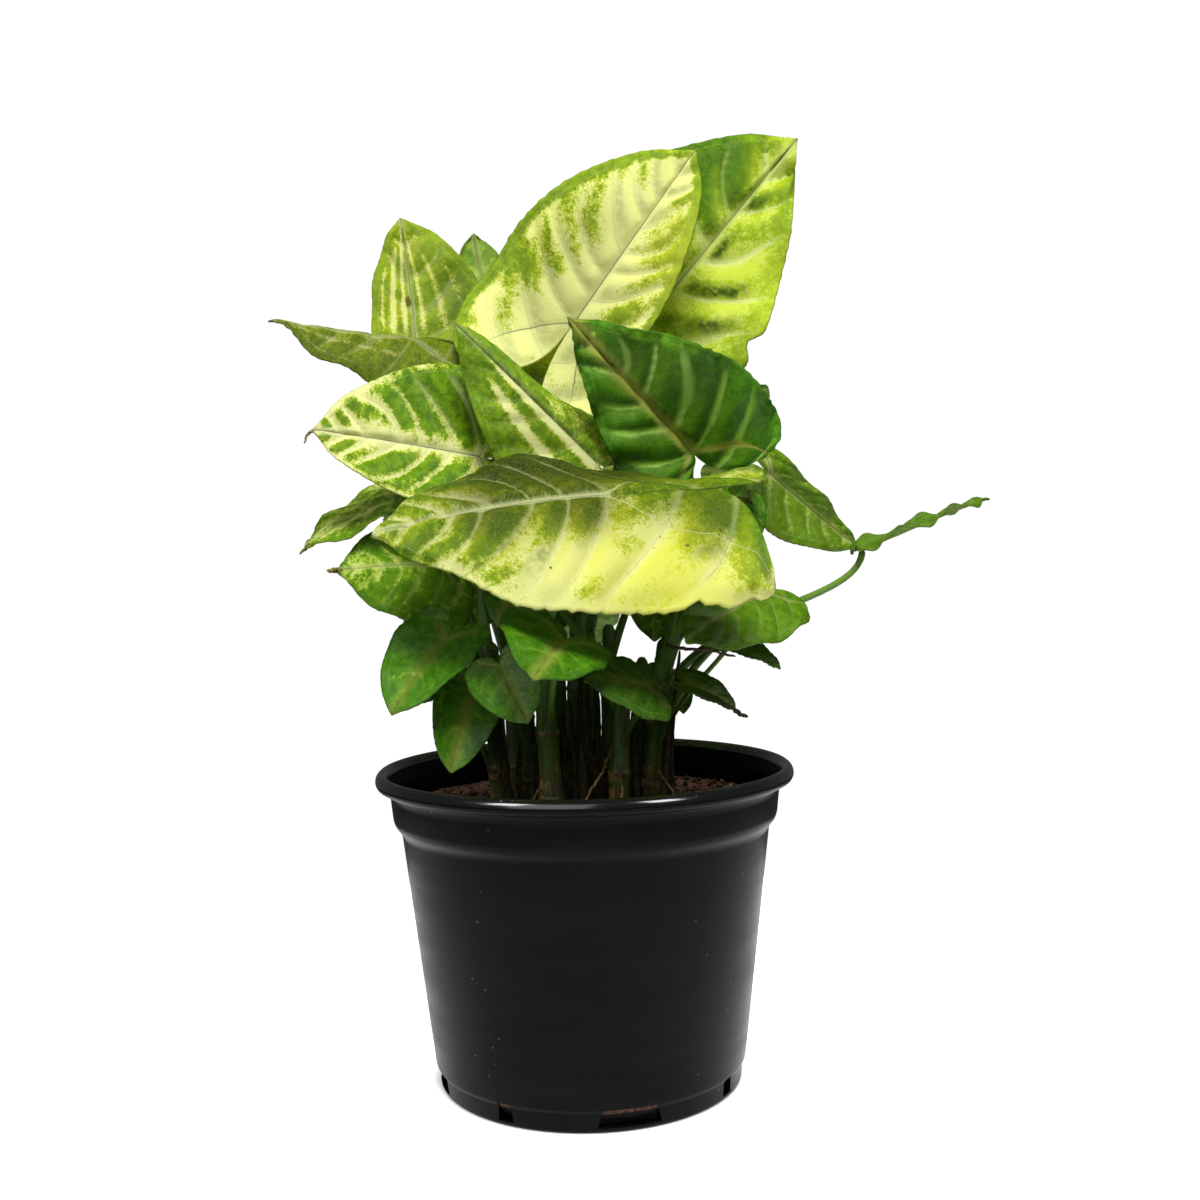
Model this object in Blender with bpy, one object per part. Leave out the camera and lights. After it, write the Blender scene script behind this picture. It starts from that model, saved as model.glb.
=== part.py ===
"""Arrowhead plant in a round plastic nursery pot.

Metres, +Z up, the front of the plant towards -Y. The origin is the centre of the pot's underside.
Plant dimensions are written in millimetres and scaled by MM where the meshes are made.
"""
import math

import bpy
import numpy as np

MM = 0.001

# Pot, millimetres: a foot ring, a tapered wall, a stepped collar and a rolled rim
POT_HEIGHT = 114.5
RIM_R = 76.0
RIM_LOW_Z = 109.1
COLLAR_TOP_R = 70.6
COLLAR_TOP_Z = 106.0
COLLAR_LOW_R = 69.7
COLLAR_LOW_Z = 97.4
WALL_TOP_R = 66.8
WALL_TOP_Z = 93.0
WALL_LOW_R = 56.8
WALL_LOW_Z = 10.0
FOOT_R = 55.0
FOOT_Z = 7.4
WALL = 1.5
FLOOR = 3.0
POT_SEGMENTS = 48

# Drain slots, millimetres: wide and narrow ones by turns, cut through the foot's corner
SLOTS = 8
SLOT_FIRST_DEG = -76.0
SLOT_WIDE = 22.0
SLOT_NARROW = 6.0
SLOT_TOP_SHARE = 0.86
SLOT_LOW_Z = 2.0
SLOT_HIGH_Z = 8.5
SLOT_INNER_R = 51.5
SLOT_OUTER_R = 60.0

# Soil and the plain holes that the canes stand in, millimetres
SOIL_TOP = 100.0
SOIL_CROWN = 0.8
SOIL_BUMP = 1.1
SOIL_GAP = 0.4
SOIL_SEGMENTS = 32
SOIL_RINGS = (60, 48, 36, 24, 12)
CANE_FOOT = 86.0
HOLE_GAP = 0.45
HOLE_REACH = 8.0

# Canes and leaf stalks, millimetres
CANE_SIDES = 9
CANE_END = 3.0
CANE_TAPER = 0.25
NODE_FIRST = 4.0
NODE_SPACING = 9.0
NODE_SWELL = 1.08
NODE_SLIM = 0.94
STALK_SIDES = 6
STALK_STEPS = 8
STALK_ROOT = 4.0
SEAT_GAP = 0.34

# Blades: the thickness in millimetres, all else as shares of a half blade or of the midrib
BLADE = 0.8
FRONT_SHARE = 0.6
SIDE_VEIN_AT = 0.10
VEIN_BOW = 0.22
TIP_PINCH = 0.45
TIP_PINCH_LENGTH = 0.07
WAIST = 0.06
FRONT_STEPS = 60
LOBE_STEPS = 40
BEND_STEPS = 12

# Colours, linear
POT_BLACK = (0.012, 0.012, 0.013)
SOIL_BROWN = (0.05, 0.03, 0.02)
STEM_GREEN = (0.10, 0.20, 0.04)
PALE_LEAF = (0.38, 0.50, 0.12)
DARK_LEAF = (0.09, 0.20, 0.03)
DARK_LEAVES = ("dark_front", "inner_dark", "right_dark", "behind_low_b")


def leaf(**values):
    """One blade. Lengths in width, lobe, spread and wave are shares of the midrib, angles are degrees.

    junction and tip are the two ends of the midrib, face is the way the upper side looks.
    A pair of values is for the left and the right half, seen on the upper side with the tip up.
    """
    shape = dict(
        width=0.48, lobe=0.52, spread=0.26, square=1.2, taper=0.7, fold=(8, 8), curl=(0, 0), droop=25,
        lobe_start=0.08, lobe_fold=None, lobe_pitch=(0, 0), wave=0.03, waves=3.0, phase=0.0, rows=10,
        columns=4,
    )
    shape.update(values)
    return shape


def petiole(blade, leaves_at, foot, end, bend):
    """A leaf stalk: the height at which it leaves the cane, its two radii and a sideways bend."""
    return dict(blade=blade, leaves_at=leaves_at, foot=foot, end=end, bend=bend)


def stem(at, radius, top, lean, petioles):
    """A cane with its leaf stalks: its place in the soil, radius, top height and how far its top leans."""
    return dict(at=at, radius=radius, top=top, lean=lean, petioles=petioles)


LEAVES = dict(
    back_right_top=leaf(junction=(24, 14, 274), tip=(83, 6, 341), face=(0.25, -0.9, 0.2), width=(0.54, 0.48),
        lobe=(0.5, 0.16), spread=0.26, taper=(0.75, 1.0), fold=(4, 10), curl=(0, 24), droop=8,
        lobe_pitch=(10, -10), wave=0.03, waves=3, phase=0.1, rows=10, columns=4),
    front_top=leaf(junction=(0, 0, 275), tip=(44, -16, 331), face=(0.1, -0.9, 0.25), width=(0.53, 0.42),
        lobe=0.52, spread=0.3, fold=(3, 20), curl=(0, 15), droop=10, lobe_start=0.2, lobe_fold=(3, 0),
        lobe_pitch=(50, 20), wave=0.02, waves=2.5, phase=0.3, rows=10, columns=4),
    dark_front=leaf(junction=(41, -7, 227), tip=(-2, -36, 271), face=(0.1, -0.85, -0.3),
        width=(0.38, 0.52), lobe=(0.12, 0.28), spread=0.3, taper=1.0, fold=(15, 5), curl=(5, 10),
        droop=5, lobe_pitch=(20, 20), wave=0.03, waves=4, phase=0.0, rows=10, columns=4),
    striped=leaf(junction=(7, -17, 223), tip=(-40, -36, 270), face=(-0.1, -0.9, 0.1), width=(0.42, 0.22),
        lobe=(0.25, 0.1), spread=0.25, taper=0.9, fold=(5, -50), curl=(10, -50), droop=10,
        lobe_start=0.5, lobe_fold=(5, 0), lobe_pitch=(30, 30), wave=0.02, waves=3, phase=0.2, rows=10,
        columns=4),
    front_large=leaf(junction=(10, -52, 210), tip=(-66, -60, 198), face=(0.1, -0.55, 0.8),
        width=(0.59, 0.44), lobe=(0.63, 0.79), spread=0.5, square=3.0, taper=(0.9, 0.7), fold=(-15, -6),
        curl=(-20, 6), droop=15, lobe_start=0.45, lobe_fold=(-17, -31), wave=0.02, waves=3.5, phase=0.4,
        rows=12, columns=4),
    left_variegated=leaf(junction=(-34, -20, 226), tip=(-89, -34, 235), face=(-0.1, -0.92, 0.2),
        width=(0.4, 0.55), lobe=0.3, spread=0.3, fold=(15, 0), curl=(0, 10), droop=15,
        lobe_pitch=(20, 10), wave=0.02, waves=3, phase=0.5, rows=10, columns=4),
    upper_left=leaf(junction=(-61, 26, 273), tip=(-66, 28, 321), face=(-0.1, -0.9, 0.2),
        width=(0.36, 0.62), lobe=0.3, spread=0.3, fold=(35, 0), curl=(0, 0), droop=-20,
        lobe_fold=(20, 0), lobe_pitch=(40, 40), wave=0.03, waves=3, phase=0.0, rows=8, columns=3),
    far_left=leaf(junction=(-59, 2, 271), tip=(-109, -8, 277), face=(0.05, -0.3, 0.95),
        width=(0.42, 0.25), lobe=0.4, spread=0.28, taper=1.0, fold=(-40, -20), curl=(-30, -10),
        droop=-10, wave=0.03, waves=3, phase=0.0, rows=8, columns=3),
    behind_small=leaf(junction=(-33, 34, 285), tip=(-39, 38, 317), face=(-0.2, 0.5, 0.7), width=0.42,
        lobe=0.25, spread=0.28, fold=(10, 10), curl=(0, 0), droop=20, rows=8, columns=3),
    low_left_narrow=leaf(junction=(-59, -4, 216), tip=(-95, -24, 195), face=(-0.3, -0.55, 0.75),
        width=0.45, lobe=0.3, spread=0.28, fold=(10, -10), curl=(0, 0), droop=20, rows=8, columns=3),
    low_left_dark=leaf(junction=(-48, -16, 188), tip=(-83, -30, 187), face=(-0.1, -0.75, 0.65),
        width=(0.62, 0.5), lobe=0.3, spread=0.3, fold=(-25, 10), curl=(-20, 10), droop=20, rows=8,
        columns=3),
    right_low=leaf(junction=(65, -12, 176), tip=(36, -34, 160), face=(0.2, -0.6, 0.75), width=0.5,
        lobe=0.28, spread=0.28, fold=(0, 10), curl=(-20, 0), droop=20, rows=8, columns=3),
    right_side=leaf(junction=(103, 0, 191), tip=(149, -2, 208), face=(-0.34, 0.14, 0.92), width=0.34,
        lobe=0.06, spread=0.1, fold=(14, -6), curl=(0, 0), droop=6, wave=0.04, rows=10,
        columns=4),
    right_inner=leaf(junction=(71, 8, 219), tip=(105, 20, 191), face=(-0.1, -0.9, 0.4),
        width=(0.2, 0.42), lobe=0.3, spread=0.2, taper=0.8, fold=(60, 0), curl=(0, 0), droop=0,
        lobe_fold=(5, 0), rows=8, columns=3),
    small_left_upper=leaf(junction=(-45, -40, 164), tip=(-62, -54, 140), face=(-0.3, -0.8, 0.4),
        width=0.5, lobe=0.3, spread=0.28, fold=(10, 10), droop=25, wave=0.015, rows=7, columns=2),
    small_left_behind=leaf(junction=(-48, -20, 149), tip=(-61, -26, 141), face=(-0.3, -0.8, 0.4),
        width=0.5, lobe=0.4, spread=0.28, fold=(10, 10), droop=25, wave=0.015, rows=7, columns=2),
    small_left_low=leaf(junction=(-37, -34, 146), tip=(-44, -46, 119), face=(0.1, -0.9, 0.4), width=0.42,
        lobe=0.25, spread=0.25, fold=(20, 20), droop=25, wave=0.015, rows=7, columns=2),
    small_middle=leaf(junction=(-5, -60, 163), tip=(-14, -84, 153), face=(0.35, -0.5, 0.8),
        width=(0.6, 0.78), lobe=0.5, spread=0.3, fold=(8, 8), curl=(-10, -10), droop=30, rows=8,
        columns=3),
    small_middle_low=leaf(junction=(-26, -52, 155), tip=(-17, -60, 137), face=(-0.1, -0.9, 0.3),
        width=0.6, lobe=0.25, spread=0.28, fold=(10, 10), droop=20, wave=0.015, rows=7, columns=2),
    small_dark_right=leaf(junction=(23, -44, 146), tip=(1, -56, 150), face=(0, -0.35, 0.95), width=0.6,
        lobe=0.25, spread=0.28, fold=(-20, 10), curl=(-20, 10), droop=25, wave=0.015, rows=7, columns=2),
    small_right=leaf(junction=(37, -24, 145), tip=(53, -28, 136), face=(0.2, -0.5, 0.8), width=0.4,
        lobe=0.3, spread=0.25, fold=(15, 15), droop=30, wave=0.015, rows=7, columns=2),
    small_far_right=leaf(junction=(52, -14, 157), tip=(70, -18, 149), face=(0.2, -0.4, 0.9), width=0.4,
        lobe=0.35, spread=0.25, fold=(15, 15), droop=30, wave=0.015, rows=7, columns=2),
    behind_low_b=leaf(junction=(-18, -14, 188), tip=(-28, -26, 166), face=(-0.1, -0.8, 0.5), width=0.5,
        lobe=0.35, spread=0.3, fold=(10, 10), droop=25, rows=8, columns=3),
    right_dark=leaf(junction=(56, -4, 208), tip=(53, -12, 187), face=(0.3, -0.8, 0.3), width=0.55,
        lobe=0.3, spread=0.3, fold=(10, 10), droop=25, rows=8, columns=3),
    back_large=leaf(junction=(10, 54, 224), tip=(18, 106, 204), face=(0.1, 0.5, 0.85), width=0.5,
        lobe=0.4, spread=0.3, fold=(12, 12), curl=(-20, -20), droop=30, lobe_pitch=(40, 40), rows=8,
        columns=3),
    back_left_large=leaf(junction=(-48, 50, 216), tip=(-80, 76, 202), face=(-0.4, 0.4, 0.85), width=0.5,
        lobe=0.35, spread=0.3, fold=(10, 14), curl=(-20, -10), droop=30, lobe_pitch=(20, 20), rows=8,
        columns=3),
    back_right_large=leaf(junction=(54, 38, 216), tip=(86, 64, 198), face=(0.4, 0.4, 0.85), width=0.5,
        lobe=0.4, spread=0.3, fold=(10, 10), curl=(-10, -20), droop=30, lobe_pitch=(20, 20), rows=8,
        columns=3),
    back_upper=leaf(junction=(-2, 38, 272), tip=(-8, 86, 290), face=(0, -0.2, 0.98), width=0.42,
        lobe=0.4, spread=0.3, fold=(14, 14), curl=(0, 0), droop=35, rows=8, columns=3),
    back_left_upper=leaf(junction=(-35, 36, 253), tip=(-66, 62, 262), face=(-0.2, 0.2, 0.95), width=0.48,
        lobe=0.35, spread=0.3, fold=(16, 16), curl=(0, 0), droop=35, rows=8, columns=3),
    back_right_upper=leaf(junction=(44, 40, 252), tip=(76, 70, 248), face=(0.3, 0.3, 0.9), width=0.5,
        lobe=0.4, spread=0.3, fold=(14, 14), curl=(-10, -10), droop=35, rows=8, columns=3),
    back_low_left=leaf(junction=(-44, 44, 172), tip=(-72, 66, 160), face=(-0.4, 0.4, 0.8), width=0.5,
        lobe=0.35, spread=0.3, fold=(12, 12), droop=30, rows=7, columns=2),
    back_low_right=leaf(junction=(46, 42, 176), tip=(68, 62, 166), face=(0.4, 0.4, 0.8), width=0.5,
        lobe=0.35, spread=0.3, fold=(12, 12), droop=30, rows=7, columns=2),
    back_low_middle=leaf(junction=(-2, 58, 166), tip=(2, 88, 150), face=(0, 0.5, 0.85), width=0.5,
        lobe=0.35, spread=0.3, fold=(12, 12), droop=30, rows=7, columns=2),
    back_small_left=leaf(junction=(-20, 42, 140), tip=(-34, 58, 126), face=(-0.4, 0.5, 0.8), width=0.5,
        lobe=0.4, spread=0.28, fold=(15, 15), droop=30, wave=0.015, rows=7, columns=2),
    back_small_right=leaf(junction=(26, 38, 142), tip=(40, 52, 126), face=(0.4, 0.5, 0.8), width=0.5,
        lobe=0.4, spread=0.28, fold=(15, 15), droop=30, wave=0.015, rows=7, columns=2),
    inner_low_left=leaf(junction=(-38, 8, 190), tip=(-43, 1, 160), face=(-0.3, -0.9, 0.3), width=0.6,
        lobe=0.35, spread=0.3, fold=(8, 8), droop=20, wave=0.02, rows=6, columns=2),
    inner_low_middle=leaf(junction=(-11, 22, 190), tip=(-12, 16, 160), face=(0, -0.9, 0.3), width=0.5,
        lobe=0.35, spread=0.3, fold=(8, 8), droop=20, wave=0.02, rows=6, columns=2),
    inner_low_right=leaf(junction=(28, 18, 194), tip=(27, 10, 158), face=(0.1, -0.9, 0.3), width=0.45,
        lobe=0.35, spread=0.3, fold=(8, 8), droop=20, wave=0.02, rows=6, columns=2),
    small_right_back=leaf(junction=(42, 9, 165), tip=(56, 6, 156), face=(0.2, -0.5, 0.8), width=0.4,
        lobe=0.3, spread=0.25, fold=(12, 12), droop=30, wave=0.015, rows=7, columns=2),
    inner_dark=leaf(junction=(24, 6, 226), tip=(6, 0, 238), face=(0, -0.9, 0.4), width=0.42, lobe=0.3,
        spread=0.25, fold=(10, 10), droop=20, rows=7, columns=3),
)

STEMS = dict(
    stem_main=stem(at=(-11, -34), radius=4.2, top=168, lean=(-3, -2), petioles=[
        petiole("front_large", leaves_at=166, foot=2.0, end=1.3, bend=(0, 0, 0)),
        petiole("small_middle", leaves_at=132, foot=1.5, end=1.0, bend=(0, 0, 0)),
        petiole("small_middle_low", leaves_at=146, foot=1.3, end=0.9, bend=(0, 0, 0)),
    ]),
    stem_left=stem(at=(-30, -16), radius=3.9, top=158, lean=(-2, 0), petioles=[
        petiole("left_variegated", leaves_at=156, foot=1.9, end=1.2, bend=(0, 0, 0)),
        petiole("low_left_dark", leaves_at=140, foot=1.7, end=1.1, bend=(0, 0, 0)),
        petiole("low_left_narrow", leaves_at=148, foot=1.7, end=1.1, bend=(0, 0, 0)),
        petiole("small_left_upper", leaves_at=118, foot=1.2, end=0.8, bend=(0, 0, 0)),
        petiole("small_left_behind", leaves_at=112, foot=1.1, end=0.8, bend=(0, 0, 0)),
        petiole("small_left_low", leaves_at=116, foot=1.1, end=0.8, bend=(0, 0, 0)),
    ]),
    stem_centre=stem(at=(12, -26), radius=4.0, top=140, lean=(2, 0), petioles=[
        petiole("small_dark_right", leaves_at=124, foot=1.3, end=0.9, bend=(0, 0, 0)),
        petiole("behind_low_b", leaves_at=136, foot=1.5, end=1.0, bend=(0, 0, 0)),
    ]),
    stem_right=stem(at=(24, -8), radius=3.9, top=150, lean=(4, 0), petioles=[
        petiole("right_side", leaves_at=138, foot=1.8, end=1.1, bend=(0, 0, 0)),
        petiole("right_inner", leaves_at=144, foot=1.8, end=1.1, bend=(0, 0, 0)),
        petiole("right_low", leaves_at=130, foot=1.7, end=1.1, bend=(0, 0, 0)),
        petiole("small_right", leaves_at=116, foot=1.1, end=0.8, bend=(0, 0, 0)),
        petiole("small_far_right", leaves_at=122, foot=1.2, end=0.8, bend=(0, 0, 0)),
        petiole("right_dark", leaves_at=148, foot=1.7, end=1.1, bend=(0, 0, 0)),
        petiole("dark_front", leaves_at=150, foot=1.9, end=1.2, bend=(0, 0, 0)),
    ]),
    stem_middle=stem(at=(-3, 0), radius=4.2, top=172, lean=(2, 2), petioles=[
        petiole("front_top", leaves_at=170, foot=2.0, end=1.3, bend=(0, 0, 0)),
        petiole("striped", leaves_at=160, foot=1.9, end=1.2, bend=(0, 0, 0)),
        petiole("inner_dark", leaves_at=168, foot=1.6, end=1.1, bend=(0, 0, 0)),
    ]),
    stem_inner_left=stem(at=(-20, 4), radius=3.4, top=158, lean=(-3, -1), petioles=[
        petiole("inner_low_left", leaves_at=150, foot=1.7, end=1.1, bend=(0, 0, 0)),
    ]),
    stem_inner=stem(at=(-9, 15), radius=3.4, top=150, lean=(0, 0), petioles=[
        petiole("inner_low_middle", leaves_at=146, foot=1.7, end=1.1, bend=(0, 0, 0)),
    ]),
    stem_inner_right=stem(at=(9, 14), radius=3.4, top=162, lean=(1, 0), petioles=[
        petiole("inner_low_right", leaves_at=154, foot=1.7, end=1.1, bend=(0, 0, 0)),
    ]),
    stem_inner_far=stem(at=(20, 7), radius=3.2, top=150, lean=(2, 0), petioles=[
        petiole("small_right_back", leaves_at=138, foot=1.4, end=0.9, bend=(0, 0, 0)),
    ]),
    stem_back_left=stem(at=(-26, 18), radius=3.9, top=160, lean=(-2, 2), petioles=[
        petiole("far_left", leaves_at=152, foot=1.8, end=1.2, bend=(0, 0, 0)),
        petiole("back_left_large", leaves_at=146, foot=1.8, end=1.2, bend=(0, 0, 0)),
        petiole("back_low_left", leaves_at=136, foot=1.6, end=1.1, bend=(0, 0, 0)),
        petiole("back_left_upper", leaves_at=156, foot=1.7, end=1.1, bend=(4, -6, 0)),
        petiole("upper_left", leaves_at=158, foot=1.8, end=1.2, bend=(4, -6, 0)),
        petiole("behind_small", leaves_at=158, foot=1.5, end=1.0, bend=(6, -4, 0)),
    ]),
    stem_back=stem(at=(2, 30), radius=4.0, top=162, lean=(0, 3), petioles=[
        petiole("back_large", leaves_at=158, foot=1.9, end=1.2, bend=(0, 0, 0)),
        petiole("back_low_middle", leaves_at=134, foot=1.5, end=1.0, bend=(0, 0, 0)),
        petiole("back_small_left", leaves_at=116, foot=1.1, end=0.8, bend=(0, 0, 0)),
        petiole("back_right_top", leaves_at=164, foot=2.0, end=1.3, bend=(0, 0, 0)),
        petiole("back_upper", leaves_at=160, foot=1.8, end=1.2, bend=(0, -6, 0)),
    ]),
    stem_back_right=stem(at=(28, 18), radius=3.9, top=156, lean=(3, 2), petioles=[
        petiole("back_right_large", leaves_at=150, foot=1.8, end=1.2, bend=(0, 0, 0)),
        petiole("back_low_right", leaves_at=138, foot=1.6, end=1.1, bend=(0, 0, 0)),
        petiole("back_small_right", leaves_at=118, foot=1.1, end=0.8, bend=(0, 0, 0)),
        petiole("back_right_upper", leaves_at=154, foot=1.8, end=1.2, bend=(-4, -4, 0)),
    ]),
)


def smooth(t):
    t = np.clip(t, 0.0, 1.0)
    return t * t * (3 - 2 * t)


def unit(v):
    v = np.asarray(v, float)
    return v / np.linalg.norm(v)


def half_of(blade, side):
    """The values of one half of a blade."""
    pairs = ("width", "lobe", "spread", "taper", "square")
    return dict(blade, **{k: blade[k][side] for k in pairs if isinstance(blade[k], tuple)})


def outline(half):
    """Margin of a half blade from the tip round to the end of its basal lobe, and its arc length."""
    s = np.linspace(0, 1, FRONT_STEPS + 1)
    width, lobe, spread = half["width"], half["lobe"], half["spread"]
    pinch = 1 - TIP_PINCH * np.exp(-((s / TIP_PINCH_LENGTH) ** 2))
    front = np.stack([width * np.sin(np.pi / 2 * s ** half["taper"]) * pinch, 1 - s], 1)
    a = np.linspace(0, np.pi / 2, LOBE_STEPS + 1)[1:]
    back = np.stack([spread + (width - spread) * np.cos(a) ** 0.9, -lobe * np.sin(a)], 1)
    line = np.concatenate([front, back])
    line[:, 0] *= 1 - WAIST * np.exp(-(((line[:, 1] + 0.02) / 0.15) ** 2))
    length = np.concatenate([[0], np.cumsum(np.linalg.norm(np.diff(line, axis=0), axis=1))])
    return line, length / length[-1]


def flat_half(half, rows, columns):
    """Grid of a half blade laid flat: across, along, share v from rib to margin and margin station m."""
    line, station = outline(half)
    share = round(rows * FRONT_SHARE) / rows
    u = np.linspace(0, 1, rows + 1)
    v = np.linspace(0, 1, columns + 1)
    front = u <= share + 1e-9
    t = np.where(front, u / share, (u - share) / (1 - share))
    rib = np.stack([0 * t, 1 - t], 1)
    turn = np.pi / 2 * t
    notch = np.stack([half["spread"] * (1 - np.cos(turn)) ** half["square"], -half["lobe"] * np.sin(turn)], 1)
    spine = np.where(front[:, None], rib, notch)
    side_vein = np.interp(-SIDE_VEIN_AT, -line[:FRONT_STEPS + 1, 1], station[:FRONT_STEPS + 1])
    m = np.where(front, side_vein * t, side_vein + (1 - side_vein) * t)
    edge = np.stack([np.interp(m, station, line[:, 0]), np.interp(m, station, line[:, 1])], 1)
    span = edge - spine
    bow = -VEIN_BOW * np.linalg.norm(span, axis=1) * np.sin(np.pi * u) ** 0.5
    flat = spine[:, None] + v[None, :, None] * span[:, None]
    flat[..., 1] += bow[:, None] * (v * (1 - v))[None]
    return flat[..., 0], flat[..., 1], *np.meshgrid(v, m)


def bent_half(blade, side, rows, columns):
    """Grid points of a half blade, folded, curled, drooped and waved, for a midrib of length one."""
    half = half_of(blade, side)
    across, along, v, m = flat_half(half, rows, columns)
    width, lobe, start = half["width"], half["lobe"], blade["lobe_start"]
    fold = math.radians(blade["fold"][side])
    lobe_fold = fold if blade["lobe_fold"] is None else math.radians(blade["lobe_fold"][side])
    curl = math.radians(blade["curl"][side])
    base = fold + (lobe_fold - fold) * smooth((start - along) / (start + 0.55 * lobe))
    k = (np.arange(BEND_STEPS) + 0.5) / BEND_STEPS
    part = across[..., None] * k
    angle = base[..., None] * (1 - np.exp(-part / 0.03)) + curl * part / width
    out = across * np.cos(angle).mean(-1)
    rise = across * np.sin(angle).mean(-1)
    ripple = np.sin(2 * np.pi * (blade["waves"] * m + blade["phase"] + 0.37 * side))
    rise = rise + blade["wave"] * v ** 2 * ripple * smooth(m / 0.12)
    droop, pitch = math.radians(blade["droop"]), math.radians(blade["lobe_pitch"][side])

    def lean(y):
        return np.where(y > 0, -droop * y, -pitch * smooth(-y / (0.7 * lobe)))

    path = lean(along[..., None] * k)
    end = lean(along)
    sign = 1 if side else -1
    y = along * np.cos(path).mean(-1) - rise * np.sin(end)
    z = along * np.sin(path).mean(-1) + rise * np.cos(end)
    return np.stack([sign * out, y, z], -1)


def placed_half(blade, side, rows, columns):
    """Grid points of a half blade in the part frame, with the midrib's ends on junction and tip."""
    points = bent_half(blade, side, rows, columns)
    k = (np.arange(60) + 0.5) / 60
    lean = -math.radians(blade["droop"]) * k
    chord_y, chord_z = np.cos(lean).mean(), np.sin(lean).mean()
    reach = math.hypot(chord_y, chord_z)
    start, tip = np.array(blade["junction"], float), np.array(blade["tip"], float)
    length = np.linalg.norm(tip - start) / reach
    toward = unit(tip - start)
    face = unit(blade["face"])
    face = unit(face - toward * (face @ toward))
    right = np.cross(toward, face)
    c, s = chord_y / reach, chord_z / reach
    x, y, z = points[..., 0:1], points[..., 1:2], points[..., 2:3]
    y, z = y * c + z * s, -y * s + z * c
    return start + length * (x * right + y * toward + z * face)


def blade_sheet(blade):
    """Points and triangles of a blade as one sheet, its upper side facing out."""
    rows, columns = blade["rows"], blade["columns"]
    joined = round(rows * FRONT_SHARE)
    points, index, faces = [], {}, []

    def number(key, point):
        if key not in index:
            index[key] = len(points)
            points.append(point)
        return index[key]

    for side in (0, 1):
        grid = placed_half(blade, side, rows, columns)
        ids = np.zeros((rows + 1, columns + 1), int)
        for i in range(rows + 1):
            for j in range(columns + 1):
                key = (side, i, j)
                if i == 0:
                    key = "tip"
                elif i == rows:
                    key = ("lobe", side)
                elif j == 0 and i <= joined:
                    key = ("rib", i)
                ids[i, j] = number(key, grid[i, j])
        for i in range(rows):
            for j in range(columns):
                a, b, c, d = ids[i, j], ids[i, j + 1], ids[i + 1, j + 1], ids[i + 1, j]
                for triangle in ((a, b, c), (a, c, d)):
                    if len(set(triangle)) == 3:
                        faces.append(triangle if side == 0 else triangle[::-1])
    return np.array(points), np.array(faces)


def blade_solid(blade):
    """The sheet given its thickness, with a wall round its margin."""
    points, faces = blade_sheet(blade)
    n = np.cross(points[faces[:, 1]] - points[faces[:, 0]], points[faces[:, 2]] - points[faces[:, 0]])
    normals = np.zeros_like(points)
    for corner in range(3):
        np.add.at(normals, faces[:, corner], n)
    normals /= np.linalg.norm(normals, axis=1)[:, None]
    count = len(points)
    edges = {(f[k], f[(k + 1) % 3]) for f in faces for k in range(3)}
    walls = []
    for a, b in sorted(edges):
        if (b, a) not in edges:
            walls += [(b, a, a + count), (b, a + count, b + count)]
    body = np.concatenate([points + normals * BLADE / 2, points - normals * BLADE / 2])
    return body, np.concatenate([faces, faces[:, ::-1] + count, np.array(walls)])


def junction_frame(blade):
    """The point where the stalk meets the blade, the upper side's normal there and the midrib's direction."""
    rows, columns = blade["rows"], blade["columns"]
    left = placed_half(blade, 0, rows, columns)
    right = placed_half(blade, 1, rows, columns)
    k = round(rows * FRONT_SHARE)
    forward = unit(right[k - 1, 0] - right[k, 0])
    across = unit(right[k - 1, 1] - left[k - 1, 1])
    return right[k, 0], unit(np.cross(across, forward)), forward


def tube(points, radii, sides):
    """A closed round tube along the points."""
    points = np.array(points, float)
    heading = np.gradient(points, axis=0)
    heading /= np.linalg.norm(heading, axis=1)[:, None]
    side = unit(np.cross(heading[0], [0.31, 0.9, 0.27]))
    body = []
    for point, along, radius in zip(points, heading, radii):
        side = unit(side - along * (side @ along))
        up = np.cross(along, side)
        for k in range(sides):
            a = 2 * math.pi * k / sides
            body.append(point + radius * (math.cos(a) * side + math.sin(a) * up))
    faces = []
    last = (len(points) - 1) * sides
    for i in range(len(points) - 1):
        for k in range(sides):
            a, b = i * sides + k, i * sides + (k + 1) % sides
            faces += [(a, b, b + sides, a + sides)]
    faces.append(tuple(range(sides))[::-1])
    faces.append(tuple(range(last, last + sides)))
    return np.array(body), faces


def cane_point(values, z):
    """A point on the cane's axis. The cane stands upright in the soil and leans above it."""
    t = min(max((z - SOIL_TOP) / (values["top"] - SOIL_TOP), 0), 1) ** 1.5
    return np.array([values["at"][0] + values["lean"][0] * t, values["at"][1] + values["lean"][1] * t, z])


def cane(values):
    """The cane with its swollen nodes, narrowing to a blunt end above the last leaf stalk."""
    top = values["top"]
    heights = [CANE_FOOT, SOIL_TOP - 1]
    heights += list(np.arange(SOIL_TOP + NODE_FIRST, top + CANE_END - 1, NODE_SPACING))
    heights.append(top + CANE_END)
    points, radii = [], []
    for k, z in enumerate(heights):
        points.append(cane_point(values, min(z, top)) + [0, 0, max(0, z - top)])
        slender = 1 - CANE_TAPER * max(0, z - SOIL_TOP) / (top - SOIL_TOP)
        swelling = 1.0 if k < 2 else (NODE_SWELL if k % 3 == 0 else NODE_SLIM)
        radii.append(values["radius"] * slender * swelling)
    radii[-1] *= 0.6
    return tube(points, radii, CANE_SIDES)


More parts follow.
